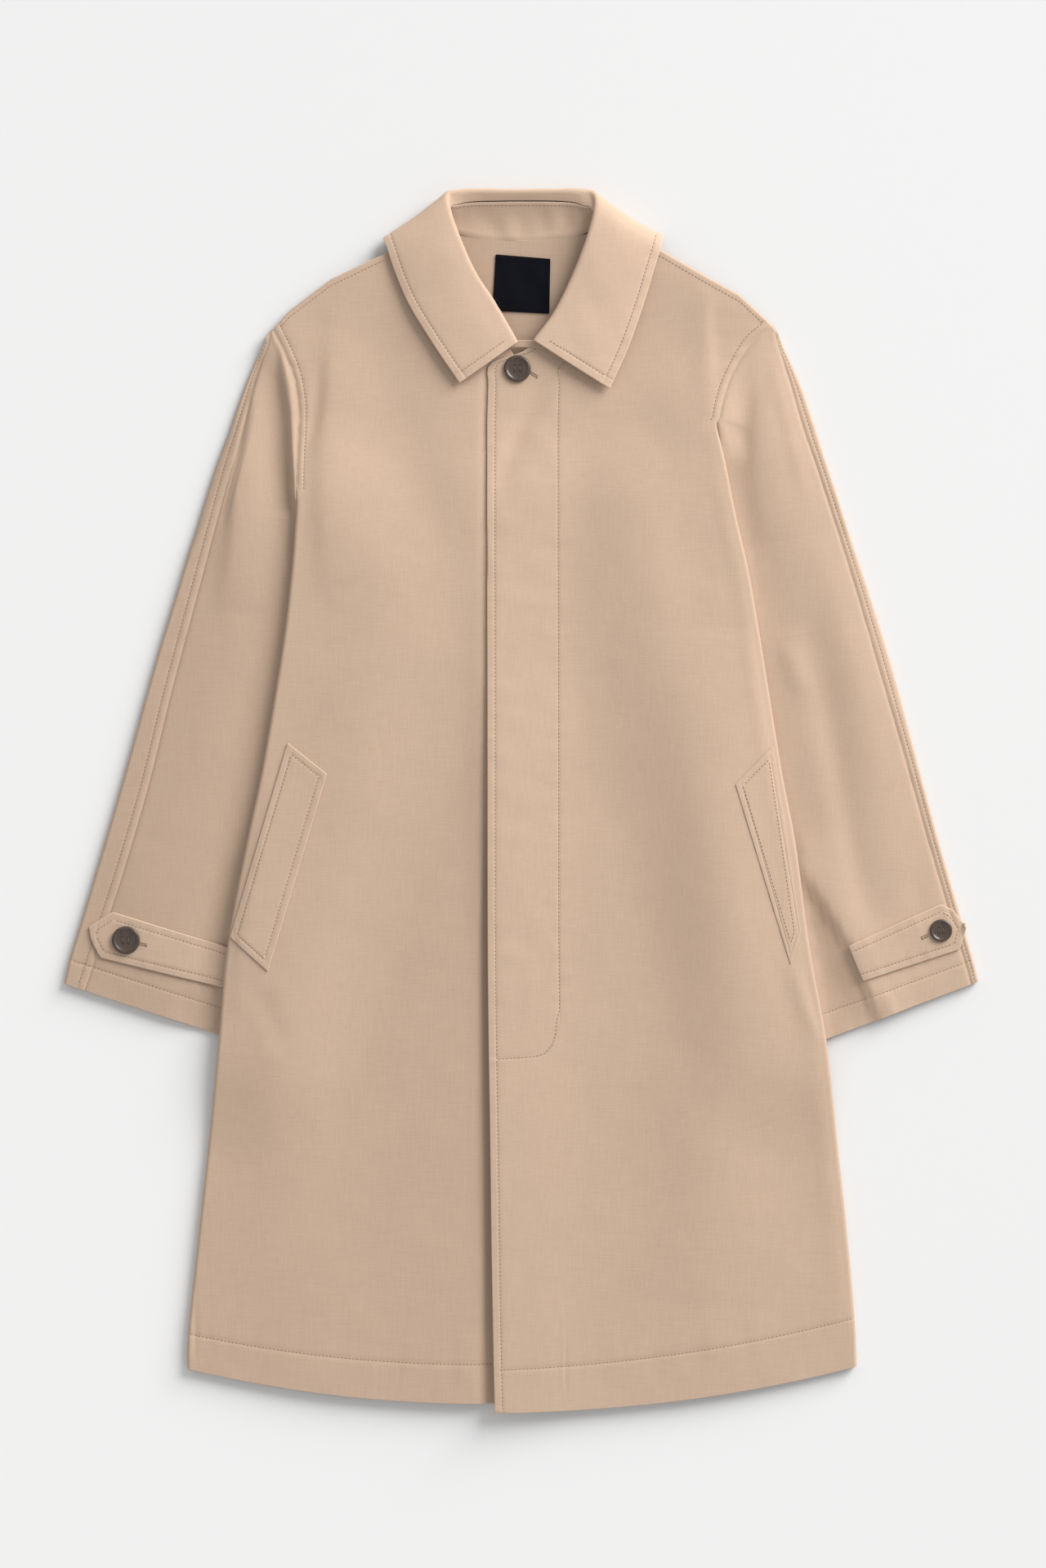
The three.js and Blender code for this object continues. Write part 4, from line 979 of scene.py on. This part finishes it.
def welt(name, corners, tree, thick, material, turned, seed):
    """A slanted welt, stitched beside all its edges."""
    outer, inner = (np.array(corners[k], float) for k in ("outer", "inner"))
    length, width = np.linalg.norm(outer[1] - outer[0]), np.linalg.norm(inner[1] - outer[1])
    v = np.concatenate([WELT_EDGE, np.linspace(11, length - 11, 36), length - WELT_EDGE[::-1]]) / length
    u = np.concatenate([WELT_EDGE, np.linspace(10, width - 10, 6), width - WELT_EDGE[::-1]]) / width
    a = outer[0] + (outer[1] - outer[0]) * v[:, None]
    b = inner[0] + (inner[1] - inner[0]) * v[:, None]
    plan = a[:, None] + (b - a)[:, None] * u[None, :, None]
    z = laid(plan, [tree], thick, 0.1, 2)
    from_end = np.minimum(v, 1 - v)[:, None] * length
    from_side = np.minimum(u, 1 - u)[None] * width
    nearest = np.minimum(from_end, from_side)
    z += groove(nearest - WELT_STITCH, 0.3) + 0.3 * smooth(nearest / 9)
    z += pucker(nearest - 4, v[:, None] * length + u[None] * width, seed, 7, 0.12)
    return shell(name, np.dstack([plan, z]), thick, material, turned)


def strap(name, spec, trees, material, seed):
    """A pointed cuff strap, stitched along all but its root."""
    ribs = np.array([spec[k] for k in ("root", "neck", "tip")], float)
    run = run_along(ribs.mean(axis=1))
    length = run[-1]
    d = np.concatenate([np.linspace(0, length - 11, 30), length - STRAP_EDGE[::-1]])
    half_row = np.array([-1, -0.985, -0.94, -0.87, -0.77, -0.71, -0.68, -0.65, -0.6, -0.5, -0.25, 0])
    f = np.concatenate([half_row, -half_row[:-1][::-1]])
    a, b = (points_at(d, ribs[:, edge], run) for edge in (0, 1))
    plan = a[:, None] + (b - a)[:, None] * ((f + 1) / 2)[None, :, None]
    z = laid(plan, trees, DOUBLED)
    half = length_of(b - a) / 2
    nearest = np.minimum((length - d)[:, None], (1 - np.abs(f))[None] * half)
    z += groove(nearest - STRAP_STITCH, 0.3) + 0.4 * smooth(nearest / 8)
    z += pucker(nearest - 4, d[:, None], seed, 7, 0.14)
    return shell(name, np.dstack([plan, z]), DOUBLED, material, True)


def label_piece(tree):
    """A plain woven label with turned ends."""
    corners = np.array([(-24.6, 448), (-22.6, 487.4), (25.6, 483.4), (24.6, 435.2)], float)
    bottom = np.array([corners[0] + (-0.2, 0), (-17.5, 437.4), corners[3]])
    size, count = 48, 44
    u = np.linspace(0, 1, count)
    low = points_at(u, bottom, [0, 0.15, 1])
    high = corners[1] + (corners[2] - corners[1]) * u[:, None]
    plan = low[None] + (high - low)[None] * u[:, None, None]
    z = laid(plan, [tree], LABEL)
    inset = np.minimum(u, 1 - u)
    edge = np.minimum(inset[None], inset[:, None]) * size
    z += 0.35 * undulation(plan[..., 0], plan[..., 1], 30, 61) * smooth(edge / 10)
    z += 0.25 * (1 - smooth((inset[:, None] * size - 3) / 1.5))
    return shell("label_woven", np.dstack([plan, z]), LABEL, NAVY, False)


def circle(centre, radius, around):
    """Points round a vertical axis."""
    angles = [2 * math.pi * k / around for k in range(around)]
    x, y, z = centre
    return [(x + radius * math.cos(a), y + radius * math.sin(a), z) for a in angles]


def ring_faces(rings, around, start=0):
    """Faces between rings of vertices that follow one another."""
    faces = []
    for a in range(start, start + (rings - 1) * around, around):
        for k in range(around):
            n = (k + 1) % around
            faces.append((a + k, a + n, a + around + n, a + around + k))
    return faces


def capped_faces(rings, around, start=0):
    """The same, closed at both ends."""
    first = range(start, start + around)
    last = range(start + (rings - 1) * around, start + rings * around)
    return [*ring_faces(rings, around, start), tuple(first)[::-1], tuple(last)]


# A button's section, from the middle of its foot to the middle of its face: share of the radius, height
BUTTON_PROFILE = [
    (0, 0), (0.62, 0), (0.86, 0.35), (0.965, 0.9), (1, 1.5), (0.99, 2.1), (0.95, 2.6), (0.89, 2.86),
    (0.82, 2.84), (0.76, 2.6), (0.715, 2.25), (0.66, 2.02), (0.45, 1.86), (0.2, 1.8), (0, 1.78),
]
AROUND, HOLE_AROUND = 72, 20
HOLE, HOLE_SPACING = 1.3, 0.2  # the holes' radius, and how far out they are for each mm of radius


def button(name, node):
    """A four-hole button with a raised rim and a dished face, in the place of its node."""
    low, high = (np.array(p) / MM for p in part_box(node))
    centre, radius = (low + high) / 2, (high[0] - low[0]) / 2
    verts = []
    for r, h in BUTTON_PROFILE[1:-1]:
        verts += circle((0, 0, h), r * radius, AROUND)
    rings = len(BUTTON_PROFILE) - 2
    faces = ring_faces(rings, AROUND)
    foot, crown = len(verts), len(verts) + 1
    verts += [(0, 0, 0), (0, 0, BUTTON_PROFILE[-1][1])]
    for k in range(AROUND):
        n = (k + 1) % AROUND
        faces.append((foot, n, k))
        faces.append((crown, (rings - 1) * AROUND + k, (rings - 1) * AROUND + n))
    place = np.array([centre[0], centre[1], low[2]])
    disc = mesh_object(name, np.array(verts) + place, faces, HORN)
    spacing = HOLE_SPACING * radius
    holes = [(sx * spacing, sy * spacing) for sx in (-1, 1) for sy in (-1, 1)]
    drill(disc, [place + (x, y, 0) for x, y in holes])
    disc.data.shade_smooth()
    disc.data.set_sharp_from_angle(angle=math.radians(40))
    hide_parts(node)
    return disc, place, holes


def drill(obj, places):
    """Round holes through a mesh, as one boolean."""
    verts, faces = [], []
    for x, y, z in places:
        faces += capped_faces(2, HOLE_AROUND, len(verts))
        verts += circle((x, y, z - 3), HOLE, HOLE_AROUND) + circle((x, y, z + 6), HOLE, HOLE_AROUND)
    cutter = added("cutter", mesh_of("cutter", verts, faces))
    cut = obj.modifiers.new("holes", "BOOLEAN")
    cut.operation, cut.object, cut.solver = "DIFFERENCE", cutter, "EXACT"
    bpy.context.view_layer.update()
    solid = bpy.data.meshes.new_from_object(obj.evaluated_get(bpy.context.evaluated_depsgraph_get()))
    obj.modifiers.clear()
    obj.data = solid
    bpy.data.objects.remove(cutter)


def tube(points, radius, sides=6):
    """Vertices and faces of a strand along points, thinner at its ends."""
    points = np.array(points, float)
    side = unit(np.cross(points[-1] - points[0], (0, 0, 1.0)))[None]
    over = np.cross(side, unit(np.gradient(points, axis=0)))
    thin = np.ones(len(points))
    thin[0] = thin[-1] = 0.35
    angles = 2 * np.pi * np.arange(sides) / sides
    ring = np.cos(angles)[:, None] * side[:, None] + np.sin(angles)[:, None] * over[:, None]
    verts = (points[:, None] + radius * thin[:, None, None] * ring).reshape(-1, 3)
    return verts, capped_faces(len(points), sides)


def strands(name, lines, material=THREAD):
    """One object from many strands, each a list of points with its radius."""
    verts, faces, start = [], [], 0
    for points, radius in lines:
        v, f = tube(points, radius)
        verts.append(v)
        faces += [tuple(i + start for i in face) for face in f]
        start += len(v)
    return mesh_object(name, np.concatenate(verts), faces, material)


STITCH, PITCH, STITCH_RADIUS = 2.5, 3.4, 0.32
STITCH_SHAPE = [(-0.5, -0.42), (-0.36, 0.0), (0, 0.12), (0.36, 0.0), (0.5, -0.42)]  # along it, height
STEEPEST = 2.2  # a stitch that would climb more than this is left off


def run_stitches(line, tree, down=True):
    """Stitches one after another along a line in plan, on a surface."""
    line = np.array(line, float)
    run = run_along(line)
    found = []
    for k in range(int(run[-1] / PITCH)):
        points = []
        for u, rise in STITCH_SHAPE:
            hit = top_of(tree, *points_at((k + 0.5) * PITCH + u * STITCH, line, run), down)
            if hit is None:
                break
            points.append(hit + (0, 0, rise if down else -rise))
        if len(points) == len(STITCH_SHAPE) and np.ptp([p[2] for p in points]) < STEEPEST:
            found.append((points, STITCH_RADIUS))
    return found


def plan_line(starts, ends, bows, rows, distance, from_end=False):
    """A line in plan through body rows, at a distance from their start or end."""
    lengths = row_lengths(starts, ends, rows)
    d = lengths - distance if from_end else np.full(len(rows), float(distance))
    return np.hstack(body_plan(starts, ends, bows, rows, (d / lengths)[:, None]))


def plan_row(starts, ends, bows, row, inset=2.0):
    """A line in plan along one body row."""
    rows = np.full(60, float(row))
    length = row_lengths(starts, ends, rows[:1])[0]
    t = np.linspace(inset / length, 1 - inset / length, 60)
    return np.hstack(body_plan(starts, ends, bows, rows, t[:, None]))


def make_pieces():
    """All cloth, by the names that SHEETS uses, and a tree for each to find places on it."""
    made = {"back": back_panel()}
    made["right"] = front("front_right_panel", RIGHT, RIGHT_IN, RIGHT_FAR, right_top, right_relief, False)
    made["left"] = front("front_left_panel", LEFT, LEFT_IN, LEFT_FAR, left_top, left_relief, True)
    for side, cut in SLEEVES.items():
        made[f"{side}_upper"], made[f"{side}_under"] = sleeve(side, cut)
    made["fall"], made["band"] = collar()
    trees = {name: tree_of(obj) for name, obj in made.items()}
    trims = {
        "welt_right": welt("welt_right", RIGHT_WELT, trees["right"], WELT, CLOTH_TRIM_RIGHT, False, 91),
        "welt_left": welt("welt_left", LEFT_WELT, trees["left"], WELT / 2, CLOTH_TRIM_LEFT, True, 93),
    }
    for side, spec, material, seed in (
            ("right", RIGHT_STRAP, CLOTH_TRIM_RIGHT, 95), ("left", LEFT_STRAP, CLOTH_TRIM_LEFT, 97)):
        on = [trees[f"{side}_upper"], trees[f"{side}_under"]]
        trims[f"strap_{side}"] = strap(f"strap_{side}", spec, on, material, seed)
    trims["label"] = label_piece(trees["back"])
    trees.update({name: tree_of(obj) for name, obj in trims.items()})
    return {**made, **trims}, trees


# Sheets: piece, the node it stands for, width and length in metres of the cut that shows, its area
# in square metres, how it is held and what it rests on
SHEETS = [
    ("back", "back", 0.600, 1.045, 0.494, "laid",
     ("floor", "sleeve_right_upper", "sleeve_left_upper", "collar_top")),
    ("right", "front_right", 0.310, 1.055, 0.256, "laid", ("back_panel",)),
    ("left", "front_left", 0.332, 1.057, 0.274, "laid", ("back_panel", "front_right_panel")),
    ("right_upper", "sleeve_right_front", 0.165, 0.640, 0.080, "laid", ("sleeve_right_under",)),
    ("right_under", "sleeve_right_back", 0.200, 0.640, 0.101, "folded", ("floor",)),
    ("left_upper", "sleeve_left_front", 0.170, 0.640, 0.091, "laid", ("sleeve_left_under",)),
    ("left_under", "sleeve_left_back", 0.200, 0.645, 0.102, "folded", ("floor",)),
    ("fall", "collar_fall", 0.075, 0.560, 0.038, "folded",
     ("front_right_panel", "front_left_panel", "floor")),
    ("band", "collar_stand", 0.030, 0.400, 0.0072, "laid", ("back_panel",)),
    ("welt_right", "pocket_welt_right", 0.045, 0.180, 0.0078, "laid", ("front_right_panel",)),
    ("welt_left", "pocket_welt_left", 0.046, 0.170, 0.0049, "laid", ("front_left_panel",)),
    ("strap_right", "cuff_strap_right", 0.042, 0.128, 0.0050, "laid", ("sleeve_right_upper",)),
    ("strap_left", "cuff_strap_left", 0.043, 0.102, 0.0040, "laid", ("sleeve_left_upper",)),
    ("label", "neck_label", 0.050, 0.051, 0.0025, "laid", ("back_panel",)),
]
made, trees = make_pieces()
for name, node, *_ in SHEETS:
    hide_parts(node)


def inset_lines(corners, inset, open_end=False):
    """A line beside each side of a piece with corners, but its last side where that is open."""
    count = len(corners)
    points = np.array(corners, float)
    lines = []
    for k in range(count - 1 if open_end else count):
        ends = []
        for here in (k, k + 1):
            p, before, after = (points[i % count] for i in (here, here - 1, here + 1))
            a, b = unit(before - p), unit(after - p)
            turn = abs(a[0] * b[1] - a[1] * b[0])
            ends.append(p + (a + b) * inset / max(turn, 0.3))
        lines.append(ends)
    return lines


def welt_lines(corners):
    outer, inner = corners["outer"], corners["inner"]
    return inset_lines([outer[0], outer[1], inner[1], inner[0]], WELT_STITCH)


def strap_lines(spec):
    """A strap's stitching, which runs on past its root."""
    root, neck, tip = (np.array(spec[k], float) for k in ("root", "neck", "tip"))
    root = root - unit(neck - root) * 5.0
    return inset_lines([root[0], neck[0], tip[0], tip[1], neck[1], root[1]], STRAP_STITCH, True)


def stitched(name, lines, tree, **how):
    """Stitching along lines in plan, on one surface."""
    return strands(f"stitches_{name}", [s for line in lines for s in run_stitches(line, tree, **how)])


def front_lines(panel, way):
    """Stitching that both fronts have: along the armhole, the hem and the shoulder."""
    x = way * np.linspace(122, 216, 50)
    armhole = plan_line(*panel, np.linspace(12.4, 19.9, 60), ARMHOLE_STITCH)
    return [armhole, plan_row(*panel, 1.0), np.stack([x, shoulder_y(x) - EDGE_STITCH], axis=1)]


def fly_lines(panel):
    """Stitching along the left front's edge, and down the fly and round its foot."""
    edge = plan_line(*panel, np.linspace(0.05, 17.6, 200), EDGE_STITCH, True)
    fly = plan_line(*panel, np.linspace(3.9, 16.6, 120), FLY_STITCH, True)
    return [edge, np.concatenate([FLY_TURN[::-1], fly[fly[:, 1] > -FLY_FOOT][1:]])]


def sleeve_stitches(side, table):
    """Stitching beside the overarm seam and round the cuff."""
    upper, under = trees[f"{side}_upper"], trees[f"{side}_under"]
    rows = np.linspace(0.6, 17.9, 120)
    over, out = through(table[:, 2:4], rows), through(table[:, 0:2], rows)
    scale = np.minimum(1, length_of(out - over) / SEAM_ROOM)
    seam = over + unit(out - over) * OVERARM_STITCH * scale
    over, inner, out = (through(table[:, k:k + 2], np.full(40, 17.0)) for k in (2, 4, 0))
    t, whole = (np.linspace(first, 0.97, 40)[:, None] for first in (0.01, 0.03))
    found = run_stitches(seam, under) + run_stitches(over + (inner - over) * t, upper)
    found += run_stitches(over + (out - over) * t, under)
    return found + run_stitches(out + (inner - out) * whole, under, down=False)


def collar_stitches():
    """Stitching round the wings, and along the stand's seam in the neck."""
    at = np.linspace(0.22, len(COLLAR) - 1.22, 260)
    edge, mid = through(COLLAR[:, 12:15], at), through(COLLAR[:, 9:12], at)
    inner = edge + unit(mid - edge) * COLLAR_STITCH
    lines = [inner[at < 4.6][:, :2], inner[at > len(COLLAR) - 5.6][:, :2]]
    share = (0.16 + 0.76 * np.linspace(0, 1, 8))[:, None]
    for end, toward in ((0, 1), (-1, -2)):
        p, q = (row[6:8] + (row[12:14] - row[6:8]) * share for row in (COLLAR[end], COLLAR[toward]))
        lines.append(p + unit(q - p) * COLLAR_STITCH)
    at = np.linspace(4.9, 11.1, 90)
    seam, neck = through(COLLAR[:, 3:6], at), through(COLLAR[:, 0:3], at)
    found = [stitch for line in lines for stitch in run_stitches(line, trees["fall"])]
    return found + run_stitches((seam + (neck - seam) * 0.12)[:, :2], trees["band"])


def sew():
    """All stitching, as a list of pieces for each sheet that it is on."""
    left, right = (LEFT, LEFT_IN, FRONT_BOW), (RIGHT, RIGHT_IN, FRONT_BOW)
    hem = plan_row(RIGHT, LEFT, BACK_BOW, 1.0, 6)
    sewn = {
        "left": [stitched("left_front", fly_lines(left) + front_lines(left, 1), trees["left"])],
        "right": [stitched("right_front", front_lines(right, -1), trees["right"])],
        "back": [stitched("back_hem", [hem], trees["back"], down=False)],
    }
    for side, cut in SLEEVES.items():
        sewn[f"{side}_under"] = [strands(f"stitches_sleeve_{side}", sleeve_stitches(side, cut.table))]
    trims = {
        "welt_right": welt_lines(RIGHT_WELT), "welt_left": welt_lines(LEFT_WELT),
        "strap_right": strap_lines(RIGHT_STRAP), "strap_left": strap_lines(LEFT_STRAP),
    }
    for name, lines in trims.items():
        sewn[name] = [stitched(name, lines, trees[name])]
    sewn["fall"] = [strands("stitches_collar", collar_stitches())]
    return sewn


def sewn_button(name, node, tree):
    """A button on its surface, with two pairs of threads through its holes."""
    disc, place, holes = button(name, node)
    rise = top_of(tree, place[0], place[1])[2] + 0.5 - place[2]
    for vertex in disc.data.vertices:
        vertex.co.z += rise * MM
    top = place + (0, 0, rise + 1.9)
    lines = []
    for a, b in ((0, 1), (2, 3)):
        for shift in (-0.32, 0.32):
            start, end = (np.array([holes[k][0] + shift, holes[k][1], 0.0]) for k in (a, b))
            path = [start + (0, 0, -1.6), start + (0, 0, 0.05), (start + end) / 2 + (0, 0, 0.35),
                    end + (0, 0, 0.05), end + (0, 0, -1.6)]
            lines.append(([top + p for p in path], 0.17))
    return [disc, strands(f"{name}_thread", lines, THREAD_LIGHT)]


def buttonhole(name, start, end, tree):
    """A worked buttonhole: close stitches on both sides of a slit, with a bar at its end."""
    start, end = np.array(start, float), np.array(end, float)
    length = np.linalg.norm(end - start)
    along = (end - start) / length
    side = np.array([-along[1], along[0]])
    lines = []

    def bar(p, q, ends, rise, radius):
        a, b = top_of(tree, *p), top_of(tree, *q)
        if a is not None and b is not None:
            lines.append(([a + (0, 0, ends), (a + b) / 2 + (0, 0, rise), b + (0, 0, ends)], radius))

    for k in range(int(length / 0.55)):
        for sign in (-1, 1):
            p = start + along * 0.55 * k + side * sign * 0.15
            bar(p, p + side * sign * 1.5, -0.1, 0.32, 0.3)
    for k in range(4):
        p = end + along * (0.2 + 0.35 * k)
        bar(p + side * -1.9, p + side * 1.9, 0, 0.45, 0.28)
    return [strands(name, lines)]


# Fastenings: their name, the sheet that they are on, the button's node, and the buttonhole's two ends
FASTENINGS = [
    ("neck", "left", "neck_button", (6.5, 383), (13.5, 378.6)),
    ("right", "strap_right", "cuff_button_right", (-341, -128), (-335.5, -129.4)),
    ("left", "strap_left", "cuff_button_left", (363, -121), (358.6, -123)),
]
sewn = sew()
for name, sheet, node, start, end in FASTENINGS:
    sewn[sheet] += sewn_button(f"button_{name}", node, trees[sheet])
    sewn[sheet] += buttonhole(f"buttonhole_{name}", start, end, trees[sheet])

FLOOR_HALF, FLOOR_Z = 6000, -0.6
corners = [(x * FLOOR_HALF, y * FLOOR_HALF, FLOOR_Z) for x, y in ((-1, -1), (1, -1), (1, 1), (-1, 1))]
floor = added("floor", mesh_of("floor", corners, [(0, 1, 2, 3)]))
floor.data.materials.append(floor_material())


def disk_light(name, place, size, power, colour=(1, 1, 1)):
    """A round light that faces the origin."""
    data = bpy.data.lights.new(name, "AREA")
    data.shape, data.size, data.energy, data.color = "DISK", size, power, colour
    lamp = added(name, data)
    lamp.location = place
    lamp.rotation_euler = (-Vector(place)).to_track_quat("-Z", "Y").to_euler()


disk_light("key", (4.0, 3.85, 3.35), 4.4, 455, (1, 0.995, 0.985))
disk_light("rake", (6.0, 5.8, 1.5), 2.6, 170)
world = bpy.data.worlds.new("studio")
bpy.context.scene.world = world
world.use_nodes = True
sky = world.node_tree.nodes["Background"]
sky.inputs["Color"].default_value = WHITE
sky.inputs["Strength"].default_value = 0.56
bpy.context.scene.view_settings.view_transform = "Standard"

camera_data = bpy.data.cameras.new("camera")
camera_data.lens = 90
camera_data.sensor_fit = "VERTICAL"
camera_data.sensor_height = 36
camera = added("camera", camera_data)
camera.location = (0.0015, 0.0142, 3.511)
bpy.context.scene.camera = camera
